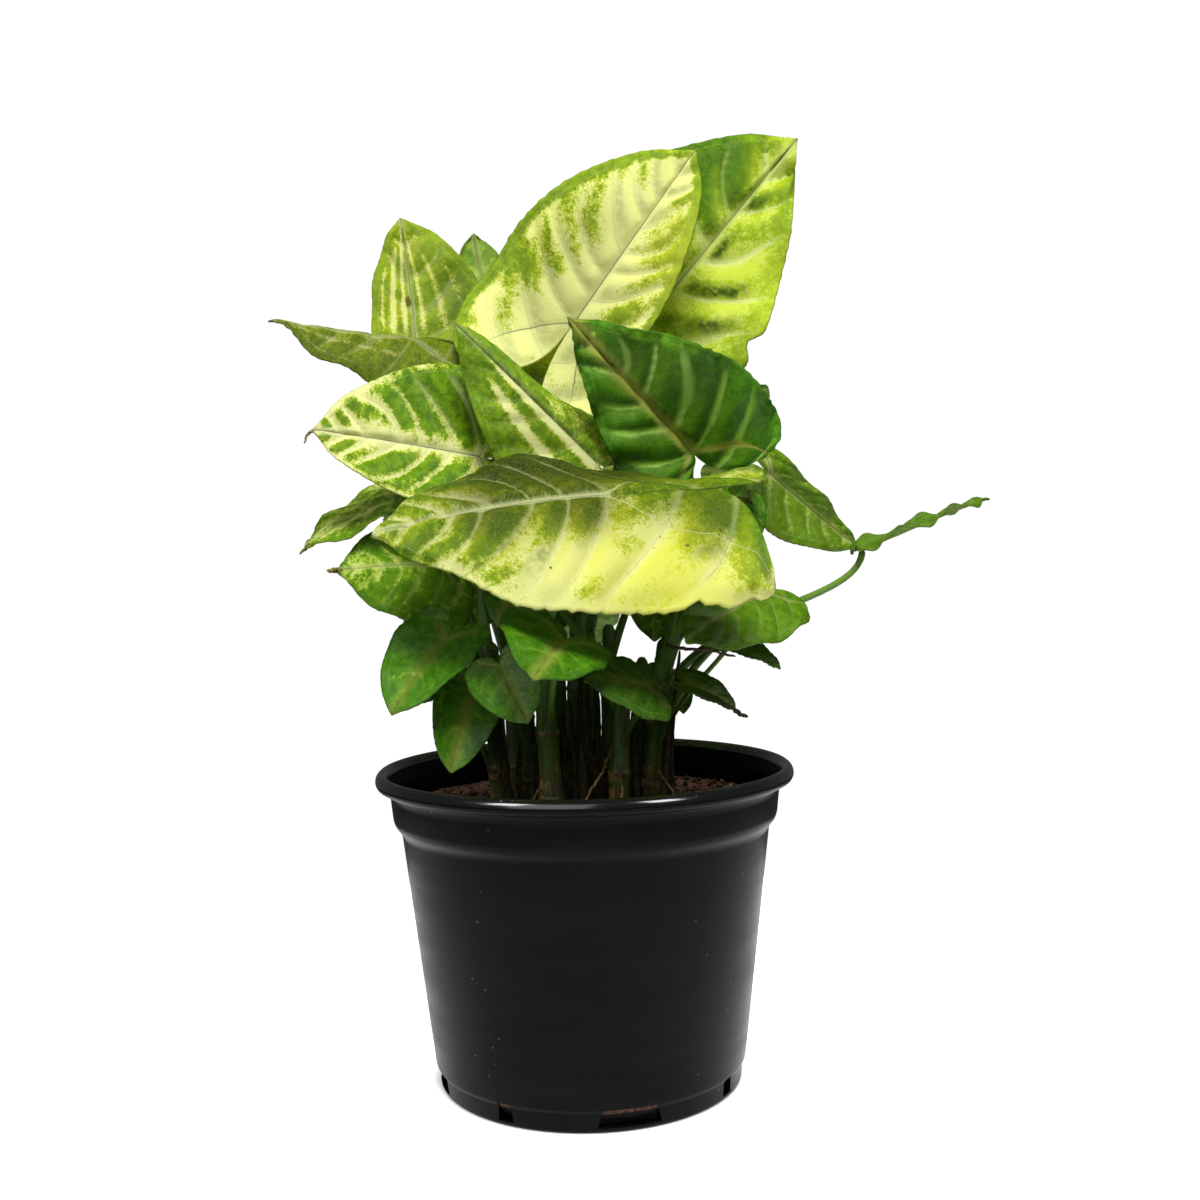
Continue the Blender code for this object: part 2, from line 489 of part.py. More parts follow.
def stalk(values, spec):
    """A leaf stalk from the cane to just below its blade, arriving square to the underside."""
    point, normal, forward = junction_frame(LEAVES[spec["blade"]])
    start = cane_point(values, spec["leaves_at"] - STALK_ROOT)
    arrive = unit(normal + 0.45 * forward)
    square = arrive @ normal
    tilt = math.sqrt(max(0, 1 - square ** 2))
    end = point - arrive * (BLADE / 2 + SEAT_GAP + spec["end"] * tilt) / square
    reach = np.linalg.norm(end - start)
    level = np.array([end[0] - start[0], end[1] - start[1], 0])
    leave = unit(unit(level + 1e-6) * 0.35 + np.array([0, 0, 1.0]))
    a, b = start + leave * reach * 0.42, end - arrive * reach * 0.22
    t = np.linspace(0, 1, STALK_STEPS)[:, None]
    path = (1 - t) ** 3 * start + 3 * (1 - t) ** 2 * t * a + 3 * (1 - t) * t ** 2 * b + t ** 3 * end
    path = path + np.sin(np.pi * t) ** 2 * np.array(spec["bend"], float)
    radii = spec["foot"] + (spec["end"] - spec["foot"]) * t[:, 0] ** 0.7
    return tube(path, radii, STALK_SIDES)


def clear_scene():
    for item in list(bpy.data.objects):
        bpy.data.objects.remove(item, do_unlink=True)


def make_material(name, colour, roughness):
    material = bpy.data.materials.new(name)
    material.use_nodes = True
    shader = material.node_tree.nodes["Principled BSDF"]
    shader.inputs["Base Color"].default_value = (*colour, 1)
    shader.inputs["Roughness"].default_value = roughness
    return material


def make_object(name, body, faces, origin=(0, 0, 0)):
    """A smooth mesh object from points in millimetres, with its own origin at the given point."""
    mesh = bpy.data.meshes.new(name)
    local = (np.array(body, float) - np.array(origin, float)) * MM
    mesh.from_pydata(local.tolist(), [], [tuple(int(i) for i in face) for face in faces])
    mesh.validate()
    mesh.shade_smooth()
    item = bpy.data.objects.new(name, mesh)
    item.location = [c * MM for c in origin]
    bpy.context.scene.collection.objects.link(item)
    return item


def apply_boolean(item, operation, others):
    """Apply one exact Boolean of all the other objects, which are then removed."""
    group = bpy.data.collections.new(item.name + "_tools")
    bpy.context.scene.collection.children.link(group)
    for other in others:
        other.hide_render = True
        other.display_type = "WIRE"
        bpy.context.scene.collection.objects.unlink(other)
        group.objects.link(other)
    step = item.modifiers.new("join", "BOOLEAN")
    step.operation = operation
    step.operand_type = "COLLECTION"
    step.collection = group
    step.solver = "EXACT"
    bpy.context.view_layer.update()
    bpy.context.view_layer.objects.active = item
    with bpy.context.temp_override(object=item, active_object=item, selected_objects=[item]):
        bpy.ops.object.modifier_apply(modifier=step.name)
    for other in others:
        bpy.data.objects.remove(other, do_unlink=True)
    bpy.data.collections.remove(group)


def lathe(profile, segments, wave=None):
    """A closed solid turned round Z. The profile runs from the lower axis point outwards to the upper one."""
    body, faces = [], []
    rings = profile[1:-1]
    for r, z in rings:
        for k in range(segments):
            a = 2 * math.pi * (k + 0.5) / segments
            body.append((r * math.cos(a), r * math.sin(a), z + (wave(r, a, z) if wave else 0)))
    low, high = len(body), len(body) + 1
    body += [(0, 0, profile[0][1]), (0, 0, profile[-1][1])]
    for i in range(len(rings) - 1):
        for k in range(segments):
            a, b = i * segments + k, i * segments + (k + 1) % segments
            faces.append((a, b, b + segments, a + segments))
    top = (len(rings) - 1) * segments
    for k in range(segments):
        n = (k + 1) % segments
        faces.append((low, n, k))
        faces.append((high, top + k, top + n))
    return body, faces


def inner_wall(z):
    """Radius and height of a point on the pot's inner wall below the collar."""
    slope = (WALL_TOP_R - WALL_LOW_R) / (WALL_TOP_Z - WALL_LOW_Z)
    return WALL_LOW_R + slope * (z - WALL_LOW_Z) - WALL, z


def pot_profile():
    """Section of the pot: underside, foot ring, wall, collar, rolled rim, then down the inside."""
    outside = [
        (0, 0), (FOOT_R - 1.2, 0), (FOOT_R, 1.0), (FOOT_R + 0.5, FOOT_Z),
        (WALL_LOW_R - 0.3, FOOT_Z + 0.9), (WALL_LOW_R, WALL_LOW_Z), (WALL_TOP_R, WALL_TOP_Z),
        (COLLAR_LOW_R - 0.7, COLLAR_LOW_Z - 1.8), (COLLAR_LOW_R, COLLAR_LOW_Z), (COLLAR_TOP_R, COLLAR_TOP_Z),
    ]
    rim = [
        (RIM_R - 4.5, RIM_LOW_Z - 0.7), (RIM_R - 1.0, RIM_LOW_Z), (RIM_R, RIM_LOW_Z + 1.9),
        (RIM_R - 0.5, POT_HEIGHT - 1.3), (RIM_R - 2.0, POT_HEIGHT), (RIM_R - 3.4, POT_HEIGHT - 0.3),
        (RIM_R - 4.6, POT_HEIGHT - 1.9),
    ]
    inside = [
        (COLLAR_TOP_R - WALL, COLLAR_TOP_Z), (COLLAR_LOW_R - WALL + 0.2, COLLAR_LOW_Z + 0.4),
        inner_wall(WALL_TOP_Z + 0.4), inner_wall(FLOOR + 3.0), (FOOT_R - FLOOR, FLOOR), (0, FLOOR),
    ]
    return outside + rim + inside


def slot_cutter(number):
    """A wedge that cuts one drain slot, narrower at its top."""
    half = (SLOT_WIDE if number % 2 == 0 else SLOT_NARROW) / 2
    turn = math.radians(SLOT_FIRST_DEG + number * 360 / SLOTS)
    body = []
    for z, h in ((SLOT_LOW_Z, half), (SLOT_HIGH_Z, half * SLOT_TOP_SHARE)):
        for x, y in ((SLOT_INNER_R, -h), (SLOT_OUTER_R, -h), (SLOT_OUTER_R, h), (SLOT_INNER_R, h)):
            across = x * math.cos(turn) - y * math.sin(turn)
            along = x * math.sin(turn) + y * math.cos(turn)
            body.append((across, along, z))
    faces = [(3, 2, 1, 0), (4, 5, 6, 7), (0, 1, 5, 4), (1, 2, 6, 5), (2, 3, 7, 6), (3, 0, 4, 7)]
    return make_object("slot_cutter_" + str(number), body, faces)


def make_pot():
    pot = make_object("pot", *lathe(pot_profile(), POT_SEGMENTS))
    apply_boolean(pot, "DIFFERENCE", [slot_cutter(k) for k in range(SLOTS)])
    return pot


def soil_bumps(r, a, z):
    """Uneven top of the soil. The sides stay plain."""
    if z < SOIL_TOP - 0.5:
        return 0.0
    level = math.sin(0.19 * r * math.cos(a) + 1.3) * math.cos(0.17 * r * math.sin(a) - 0.6)
    ripple = 0.5 * math.sin(0.43 * r * math.sin(a) + 0.31 * r * math.cos(a))
    return SOIL_BUMP * (level + ripple)


def soil_profile():
    """Section of the soil: it follows the pot's inside with a small gap up to its uneven top."""
    low_r, low_z = inner_wall(FLOOR + 3.6)
    high_r, high_z = inner_wall(WALL_TOP_Z + 0.4)
    collar_r = COLLAR_LOW_R - WALL
    side = [
        (0, FLOOR + SOIL_GAP), (FOOT_R - FLOOR - SOIL_GAP, FLOOR + SOIL_GAP), (low_r - SOIL_GAP, low_z),
        (high_r - SOIL_GAP, high_z + SOIL_GAP), (collar_r - 0.3, COLLAR_LOW_Z + 0.8),
        (collar_r - 0.2, SOIL_TOP - 0.2),
    ]
    return side + [(r, SOIL_TOP) for r in SOIL_RINGS] + [(0, SOIL_TOP + SOIL_CROWN)]


def cane_hole(name, values):
    """A plain round hole for a cane, from just below its foot to above the soil."""
    x, y = values["at"]
    ends = [(x, y, CANE_FOOT - HOLE_GAP), (x, y, SOIL_TOP + HOLE_REACH)]
    radius = (values["radius"] + HOLE_GAP) * 1.02
    return make_object(name + "_hole", *tube(ends, [radius, radius], CANE_SIDES))


def make_soil():
    soil = make_object("soil", *lathe(soil_profile(), SOIL_SEGMENTS, soil_bumps))
    apply_boolean(soil, "DIFFERENCE", [cane_hole(name, values) for name, values in STEMS.items()])
    return soil


def make_stem(name, values):
    """A cane and its leaf stalks joined into one body."""
    foot = (*values["at"], SOIL_TOP)
    item = make_object(name, *cane(values), foot)
    specs = values["petioles"]
    stalks = [make_object(name + "_" + spec["blade"], *stalk(values, spec), foot) for spec in specs]
    apply_boolean(item, "UNION", stalks)
    return item


def make_leaf(name, blade):
    return make_object(name, *blade_solid(blade), blade["junction"])


def main():
    clear_scene()
    make_pot().data.materials.append(make_material("pot_black", POT_BLACK, 0.35))
    make_soil().data.materials.append(make_material("soil_brown", SOIL_BROWN, 0.95))
    for name, values in STEMS.items():
        make_stem(name, values).data.materials.append(make_material(name + "_green", STEM_GREEN, 0.5))
    for name, blade in LEAVES.items():
        colour = DARK_LEAF if name in DARK_LEAVES or name.startswith("small") else PALE_LEAF
        make_leaf(name, blade).data.materials.append(make_material(name + "_green", colour, 0.45))


main()
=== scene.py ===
"""Dresses the solid model of an arrowhead plant in its round black nursery pot.

Metres, +Z up, the front of the plant towards -Y. The plant's own numbers are millimetres, scaled by MM.
"""

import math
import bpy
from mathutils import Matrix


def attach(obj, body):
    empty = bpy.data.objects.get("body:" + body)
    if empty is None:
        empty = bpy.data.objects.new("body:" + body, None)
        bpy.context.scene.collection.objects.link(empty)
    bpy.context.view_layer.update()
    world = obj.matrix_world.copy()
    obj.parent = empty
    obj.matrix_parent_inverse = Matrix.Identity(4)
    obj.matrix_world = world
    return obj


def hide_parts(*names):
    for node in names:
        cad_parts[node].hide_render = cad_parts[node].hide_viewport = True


bl_info = {
    "name": "Potted Arrowhead Plant",
    "version": (1, 0, 0),
    "blender": (4, 5, 0),
    "location": "3D View > Sidebar > Plant",
    "description": "Leaves, stems, soil and nursery pot of an arrowhead plant, with a plain studio",
    "category": "Add Mesh",
}

import bpy
import numpy as np
from bpy.props import FloatProperty, FloatVectorProperty, IntProperty, PointerProperty
from mathutils import Matrix, Vector

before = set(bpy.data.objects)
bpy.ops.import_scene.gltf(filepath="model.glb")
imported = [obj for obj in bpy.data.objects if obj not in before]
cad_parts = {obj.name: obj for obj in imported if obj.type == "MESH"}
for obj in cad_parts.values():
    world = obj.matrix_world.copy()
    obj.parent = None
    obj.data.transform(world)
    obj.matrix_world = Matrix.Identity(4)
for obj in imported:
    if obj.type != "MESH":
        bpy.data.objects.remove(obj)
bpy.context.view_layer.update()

MM = 0.001
BODY = "root"

# Pot, millimetres, as in the solid model
POT_HEIGHT = 114.5
RIM_R = 76.0
RIM_LOW_Z = 109.1
COLLAR_TOP_R = 70.6
COLLAR_TOP_Z = 106.0
COLLAR_LOW_R = 69.7
COLLAR_LOW_Z = 97.4
WALL_TOP_R = 66.8
WALL_TOP_Z = 93.0
WALL_LOW_R = 56.8
WALL_LOW_Z = 10.0
FOOT_R = 55.0
FOOT_Z = 7.4
WALL = 1.5
FLOOR = 3.0
POT_SEGMENTS = 192
POT_ROUNDING = 1.6
POT_SHARP_DEG = 40
RIM_SHINE_FROM = 2.6
SLOTS = 8
SLOT_FIRST_DEG = -76.0
SLOT_WIDE = 22.0
SLOT_NARROW = 6.0
SLOT_TOP_SHARE = 0.86
SLOT_LOW_Z = 2.0
SLOT_HIGH_Z = 8.5
SLOT_INNER_R = 51.5
SLOT_OUTER_R = 60.0

# Stage: floor and sensor in millimetres, lamps in metres, light levels
FLOOR_R = 320.0
FLOOR_SEGMENTS = 128
LAMPS = dict(
    lamp_top=dict(place=(0.06, -0.5, 0.92), target=(0, 0, 0.2), side=0.28, mirrored=False),
    lamp_back=dict(place=(0.12, 0.55, 0.65), target=(0, 0, 0.22), side=0.4, mirrored=False),
    lamp_fill=dict(place=(-0.3, -0.9, 0.6), target=(0, 0, 0.18), side=0.8),
    lamp_left=dict(place=(-0.62, -0.62, 0.75), target=(0, 0, 0.12), side=0.3, tall=0.45, lights=False),
    lamp_right=dict(place=(0.62, -0.62, 0.75), target=(0, 0, 0.12), side=0.3, tall=0.45, lights=False),
)
WORLD_SEEN = 1.05
WORLD_LIGHT = 0.07
SENSOR = 36.0
WHITE = (1, 1, 1, 1)

# Soil, millimetres
SOIL_TOP = 100.0
SOIL_BUMP = 1.1
SOIL_GAP = 0.4
SOIL_EDGE_R = 67.8
SOIL_RINGS = 72
SOIL_SEGMENTS = 224
SOIL_DEEP_Z = 20.0
CRUMB_RINGS = 5
CRUMB_SIDES = 8
CRUMB_LUMPS = 0.24
STUB_REACH = 33.0
STUB_TALL = (22, 62)
STUB_THICK = (1.1, 1.9)

# What lies on the soil: sizes in millimetres, and how far a lump is raised, as a share of its size
LITTER = dict(
    soil_crumbs=dict(seed=71, sizes=(0.5, 1.5), stretch=(1, 0.85, 0.75), material="crumb_dark", raised=0.25),
    soil_bark=dict(seed=72, sizes=(1.2, 2.8), stretch=(1, 0.55, 0.3), material="bark_red", raised=0.15),
    soil_grit=dict(seed=73, sizes=(0.5, 1.1), stretch=(1, 0.9, 0.8), material="grit_pale", raised=0.3),
)

# Canes and leaf stalks, millimetres
CANE_FOOT = 86.0
CANE_SIDES = 28
CANE_STEP = 0.6
CANE_END = 3.0
CANE_TAPER = 0.25
NODE_FIRST = 4.0
NODE_SPACING = 9.0
NODE_SWELL = 1.08
NODE_SLIM = 0.94
STALK_SIDES = 16
STALK_STEPS = 40
STALK_ROOT = 4.0
STALK_SEAT = 0.45
CURVE_STEPS = 24
STRAND_BLUNT = 0.6

# Blades: thickness and relief in millimetres, all else as shares of a half blade or of the midrib
BLADE = 0.6
FRONT_SHARE = 0.6
SIDE_VEIN_AT = 0.10
VEIN_BOW = 0.22
TIP_PINCH = 0.45
TIP_PINCH_LENGTH = 0.07
WAIST = 0.06
FRONT_STEPS = 60
LOBE_STEPS = 40
BEND_STEPS = 12
MIDRIB_STEPS = 60
JOINT_ROWS = 6
RIB_CROWDING = 1.12
VEIN_SWEEP = 0.2
GROOVE_DEPTH = 0.3
GROOVE_WIDTH = 0.9
RIDGE_HEIGHT = 0.75
RIDGE_WIDTH = 0.8
VEIN_HEIGHT = 0.22
VEIN_WIDTH = 0.5
NOISE_CELLS = 64

# How much each noise adds to the paleness of the skin, and the attributes that the skin reads
PALE_NOISE = dict(patches=2.0, streaks=1.2, mottle=3.4, fine=4.6)
SKIN_FIELDS = ("flat", "veins", "fields", "lines", "tone", "marks")


def leaf(junction, tip, face, **values):
    """One blade, as in the solid model: where its junction and tip are and which way its face looks.

    width, lobe, spread and wave are shares of the midrib, and fold, curl, droop and lobe_pitch degrees. A
    pair holds the values of the left and the right half.
    """
    shape = dict(
        junction=junction, tip=tip, face=face, width=0.48, lobe=0.52, spread=0.26, square=1.2, taper=0.7,
        fold=(8, 8), curl=(0, 0), droop=25, lobe_start=0.08, lobe_fold=None, lobe_pitch=(0, 0), wave=0.03,
        waves=3.0, phase=0.0,
    )
    return {**shape, **values}


def small_leaf(*place, **values):
    """A small blade low on its cane."""
    shared = dict(width=0.5, lobe=0.3, spread=0.28, fold=(10, 10), wave=0.015)
    return leaf(*place, **{**shared, **values})


def back_leaf(*place, **values):
    """A blade inside or behind the bush, which the photograph hides."""
    shared = dict(width=0.5, lobe=0.35, spread=0.3, fold=(12, 12), droop=30)
    return leaf(*place, **{**shared, **values})


def petiole(blade, leaves_at, foot, end, bend=(0, 0, 0)):
    """A leaf stalk: the height at which it leaves the cane, its two radii and a sideways bend."""
    return dict(blade=blade, leaves_at=leaves_at, foot=foot, end=end, bend=bend)


def stem(at, radius, top, lean, **petioles):
    """A cane by its place in the soil, radius, top height and lean, and its leaf stalks by their blades."""
    petioles = [petiole(blade, *numbers) for blade, numbers in petioles.items()]
    return dict(at=at, radius=radius, top=top, lean=lean, petioles=petioles)


LEAVES = dict(
    back_right_top=leaf((24, 14, 274), (83, 6, 341), (0.25, -0.9, 0.2), width=(0.54, 0.48), lobe=(0.5, 0.16),
        taper=(0.75, 1.0), fold=(4, 10), curl=(0, 24), droop=8, lobe_pitch=(10, -10), phase=0.1),
    front_top=leaf((0, 0, 275), (44, -16, 331), (0.1, -0.9, 0.25), width=(0.53, 0.42), spread=0.3,
        fold=(3, 20), curl=(0, 15), droop=10, lobe_start=0.2, lobe_fold=(3, 0), lobe_pitch=(50, 20),
        wave=0.02, waves=2.5, phase=0.3),
    dark_front=leaf((41, -7, 227), (-2, -36, 271), (0.1, -0.85, -0.3), width=(0.38, 0.52), lobe=(0.12, 0.28),
        spread=0.3, taper=1.0, fold=(15, 5), curl=(5, 10), droop=5, lobe_pitch=(20, 20), waves=4),
    striped=leaf((7, -17, 223), (-40, -36, 270), (-0.1, -0.9, 0.1), width=(0.42, 0.22), lobe=(0.25, 0.1),
        spread=0.25, taper=0.9, fold=(5, -50), curl=(10, -50), droop=10, lobe_start=0.5, lobe_fold=(5, 0),
        lobe_pitch=(30, 30), wave=0.02, phase=0.2),
    front_large=leaf((10, -52, 210), (-66, -60, 198), (0.1, -0.55, 0.8), width=(0.59, 0.44),
        lobe=(0.63, 0.79), spread=0.5, square=3.0, taper=(0.9, 0.7), fold=(-15, -6), curl=(-20, 6), droop=15,
        lobe_start=0.45, lobe_fold=(-17, -31), wave=0.02, waves=3.5, phase=0.4),
    left_variegated=leaf((-34, -20, 226), (-89, -34, 235), (-0.1, -0.92, 0.2), width=(0.4, 0.55), lobe=0.3,
        spread=0.3, fold=(15, 0), curl=(0, 10), droop=15, lobe_pitch=(20, 10), wave=0.02, phase=0.5),
    upper_left=leaf((-61, 26, 273), (-66, 28, 321), (-0.1, -0.9, 0.2), width=(0.36, 0.62), lobe=0.3,
        spread=0.3, fold=(35, 0), droop=-20, lobe_fold=(20, 0), lobe_pitch=(40, 40)),
    far_left=leaf((-59, 2, 271), (-109, -8, 277), (0.05, -0.3, 0.95), width=(0.42, 0.25), lobe=0.4,
        spread=0.28, taper=1.0, fold=(-40, -20), curl=(-30, -10), droop=-10),
    behind_small=leaf((-33, 34, 285), (-39, 38, 317), (-0.2, 0.5, 0.7), width=0.42, lobe=0.25, spread=0.28,
        fold=(10, 10), droop=20),
    low_left_narrow=leaf((-59, -4, 216), (-95, -24, 195), (-0.3, -0.55, 0.75), width=0.45, lobe=0.3,
        spread=0.28, fold=(10, -10), droop=20),
    low_left_dark=leaf((-48, -16, 188), (-83, -30, 187), (-0.1, -0.75, 0.65), width=(0.62, 0.5), lobe=0.3,
        spread=0.3, fold=(-25, 10), curl=(-20, 10), droop=20),
    right_low=leaf((65, -12, 176), (36, -34, 160), (0.2, -0.6, 0.75), width=0.5, lobe=0.28, spread=0.28,
        fold=(0, 10), curl=(-20, 0), droop=20),
    right_side=leaf((103, 0, 191), (149, -2, 208), (-0.34, 0.14, 0.92), width=0.34, lobe=0.06, spread=0.1,
        fold=(14, -6), droop=6, wave=0.04),
    right_inner=leaf((71, 8, 219), (105, 20, 191), (-0.1, -0.9, 0.4), width=(0.2, 0.42), lobe=0.3, spread=0.2,
        taper=0.8, fold=(60, 0), droop=0, lobe_fold=(5, 0)),
    small_left_upper=small_leaf((-45, -40, 164), (-62, -54, 140), (-0.3, -0.8, 0.4)),
    small_left_behind=small_leaf((-48, -20, 149), (-61, -26, 141), (-0.3, -0.8, 0.4), lobe=0.4),
    small_left_low=small_leaf((-37, -34, 146), (-44, -46, 119), (0.1, -0.9, 0.4), width=0.42, lobe=0.25,
        spread=0.25, fold=(20, 20)),
    small_middle=leaf((-5, -60, 163), (-14, -84, 153), (0.35, -0.5, 0.8), width=(0.6, 0.78), lobe=0.5,
        spread=0.3, curl=(-10, -10), droop=30),
    small_middle_low=small_leaf((-26, -52, 155), (-17, -60, 137), (-0.1, -0.9, 0.3), width=0.6, lobe=0.25,
        droop=20),
    small_dark_right=small_leaf((23, -44, 146), (1, -56, 150), (0, -0.35, 0.95), width=0.6, lobe=0.25,
        fold=(-20, 10), curl=(-20, 10)),
    small_right=small_leaf((37, -24, 145), (53, -28, 136), (0.2, -0.5, 0.8), width=0.4, spread=0.25,
        fold=(15, 15), droop=30),
    small_far_right=small_leaf((52, -14, 157), (70, -18, 149), (0.2, -0.4, 0.9), width=0.4, lobe=0.35,
        spread=0.25, fold=(15, 15), droop=30),
    behind_low_b=leaf((-18, -14, 188), (-28, -26, 166), (-0.1, -0.8, 0.5), width=0.5, lobe=0.35, spread=0.3,
        fold=(10, 10)),
    right_dark=leaf((56, -4, 208), (53, -12, 187), (0.3, -0.8, 0.3), width=0.55, lobe=0.3, spread=0.3,
        fold=(10, 10)),
    back_large=back_leaf((10, 54, 224), (18, 106, 204), (0.1, 0.5, 0.85), lobe=0.4, curl=(-20, -20),
        lobe_pitch=(40, 40)),
    back_left_large=back_leaf((-48, 50, 216), (-80, 76, 202), (-0.4, 0.4, 0.85), fold=(10, 14),
        curl=(-20, -10), lobe_pitch=(20, 20)),
    back_right_large=back_leaf((54, 38, 216), (86, 64, 198), (0.4, 0.4, 0.85), lobe=0.4, fold=(10, 10),
        curl=(-10, -20), lobe_pitch=(20, 20)),
    back_upper=back_leaf((-2, 38, 272), (-8, 86, 290), (0, -0.2, 0.98), width=0.42, lobe=0.4, fold=(14, 14),
        droop=35),
    back_left_upper=back_leaf((-35, 36, 253), (-66, 62, 262), (-0.2, 0.2, 0.95), width=0.48, fold=(16, 16),
        droop=35),
    back_right_upper=back_leaf((44, 40, 252), (76, 70, 248), (0.3, 0.3, 0.9), lobe=0.4, fold=(14, 14),
        curl=(-10, -10), droop=35),
    back_low_left=back_leaf((-44, 44, 172), (-72, 66, 160), (-0.4, 0.4, 0.8)),
    back_low_right=back_leaf((46, 42, 176), (68, 62, 166), (0.4, 0.4, 0.8)),
    back_low_middle=back_leaf((-2, 58, 166), (2, 88, 150), (0, 0.5, 0.85)),
    back_small_left=small_leaf((-20, 42, 140), (-34, 58, 126), (-0.4, 0.5, 0.8), lobe=0.4, fold=(15, 15),
        droop=30),
    back_small_right=small_leaf((26, 38, 142), (40, 52, 126), (0.4, 0.5, 0.8), lobe=0.4, fold=(15, 15),
        droop=30),
    inner_low_left=back_leaf((-38, 8, 190), (-43, 1, 160), (-0.3, -0.9, 0.3), width=0.6, fold=(8, 8),
        droop=20, wave=0.02),
    inner_low_middle=back_leaf((-11, 22, 190), (-12, 16, 160), (0, -0.9, 0.3), fold=(8, 8), droop=20,
        wave=0.02),
    inner_low_right=back_leaf((28, 18, 194), (27, 10, 158), (0.1, -0.9, 0.3), width=0.45, fold=(8, 8),
        droop=20, wave=0.02),
    small_right_back=small_leaf((42, 9, 165), (56, 6, 156), (0.2, -0.5, 0.8), width=0.4, spread=0.25,
        fold=(12, 12), droop=30),
    inner_dark=leaf((24, 6, 226), (6, 0, 238), (0, -0.9, 0.4), width=0.42, lobe=0.3, spread=0.25,
        fold=(10, 10), droop=20),
)

STEMS = dict(
    stem_main=stem((-11, -34), 4.2, 168, (-3, -2), front_large=(166, 2.0, 1.3), small_middle=(132, 1.5, 1.0),
        small_middle_low=(146, 1.3, 0.9)),
    stem_left=stem((-30, -16), 3.9, 158, (-2, 0), left_variegated=(156, 1.9, 1.2),
        low_left_dark=(140, 1.7, 1.1), low_left_narrow=(148, 1.7, 1.1), small_left_upper=(118, 1.2, 0.8),
        small_left_behind=(112, 1.1, 0.8), small_left_low=(116, 1.1, 0.8)),
    stem_centre=stem((12, -26), 4.0, 140, (2, 0), small_dark_right=(124, 1.3, 0.9),
        behind_low_b=(136, 1.5, 1.0)),
    stem_right=stem((24, -8), 3.9, 150, (4, 0), right_side=(138, 1.8, 1.1), right_inner=(144, 1.8, 1.1),
        right_low=(130, 1.7, 1.1), small_right=(116, 1.1, 0.8), small_far_right=(122, 1.2, 0.8),
        right_dark=(148, 1.7, 1.1), dark_front=(150, 1.9, 1.2)),
    stem_middle=stem((-3, 0), 4.2, 172, (2, 2), front_top=(170, 2.0, 1.3), striped=(160, 1.9, 1.2),
        inner_dark=(168, 1.6, 1.1)),
    stem_inner_left=stem((-20, 4), 3.4, 158, (-3, -1), inner_low_left=(150, 1.7, 1.1)),
    stem_inner=stem((-9, 15), 3.4, 150, (0, 0), inner_low_middle=(146, 1.7, 1.1)),
    stem_inner_right=stem((9, 14), 3.4, 162, (1, 0), inner_low_right=(154, 1.7, 1.1)),
    stem_inner_far=stem((20, 7), 3.2, 150, (2, 0), small_right_back=(138, 1.4, 0.9)),
    stem_back_left=stem((-26, 18), 3.9, 160, (-2, 2), far_left=(152, 1.8, 1.2),
        back_left_large=(146, 1.8, 1.2), back_low_left=(136, 1.6, 1.1),
        back_left_upper=(156, 1.7, 1.1, (4, -6, 0)), upper_left=(158, 1.8, 1.2, (4, -6, 0)),
        behind_small=(158, 1.5, 1.0, (6, -4, 0))),
    stem_back=stem((2, 30), 4.0, 162, (0, 3), back_large=(158, 1.9, 1.2), back_low_middle=(134, 1.5, 1.0),
        back_small_left=(116, 1.1, 0.8), back_right_top=(164, 2.0, 1.3),
        back_upper=(160, 1.8, 1.2, (0, -6, 0))),
    stem_back_right=stem((28, 18), 3.9, 156, (3, 2), back_right_large=(150, 1.8, 1.2),
        back_low_right=(138, 1.6, 1.1), back_small_right=(118, 1.1, 0.8),
        back_right_upper=(154, 1.8, 1.2, (-4, -4, 0))),
)

DARK_LEAVES = ("dark_front", "inner_dark", "right_dark", "behind_low_b")
PALE_LEAVES = ("front_top", "left_variegated", "striped", "front_large", "far_left", "upper_left")


def family_of(name):
    """The key in FAMILIES for a blade."""
    if name in PALE_LEAVES:
        return "variegated"
    if name in DARK_LEAVES or name.startswith("small") or name.startswith("back_small"):
        return "dark"
    return "green"


def look(seed, pale, **values):
    """The pattern and relief of one blade.

    pale, cloud, rib_cream, vein_cream, margin_green and islands add up to the paleness of the skin, which
    noise breaks up. soft is the width of the step from green to pale. tone is (olive, dark, yellow). halo is
    the strength of the light line beside each vein. The shading strength sets the painted shade on the lower
    slope of each swelling between side veins and the painted light on its upper slope. quilt, uneven and
    crimp are the heights of the swellings between the veins, of broad bumps and of the waves at the margin.
    ragged is how torn the margin is. Past the share lobe_vein of a lobe its midvein fades.
    Stripes are (signed share from rib to margin, width, first and last share of the midrib, gain). Spots are
    (x, y, reach, (pale, olive, dark, yellow)) in shares of the midrib. Scars are (x, y, reach), nicks
    (station, reach, depth) for each half. Widths without a note are millimetres.
    """
    item = dict(
        seed=seed, pale=pale, veins=6, cloud=0.35, rib_cream=0.4, rib_width=5.0, margin_green=0.5,
        margin_width=0.12, vein_cream=0.6, islands=0.0, island_start=0.25, soft=0.25, halo=0.5, blotch=0.0,
        tone=(0, 0, 0), lobe_vein=0.3, stripes=(), spots=(), scars=(), nicks=((), ()), ragged=0.008,
        quilt=1.0, uneven=0.5, crimp=0.15, crimps=14,
    )
    return {**item, **values}


def small_look(seed, dark, olive=0, **values):
    """The look of a small dark leaf, by its seed, darkness and olive tint."""
    shared = dict(tone=(olive, dark, 0), veins=4, quilt=0.4, uneven=0.3, halo=0.2)
    return look(seed, -1.9, **{**shared, **values})


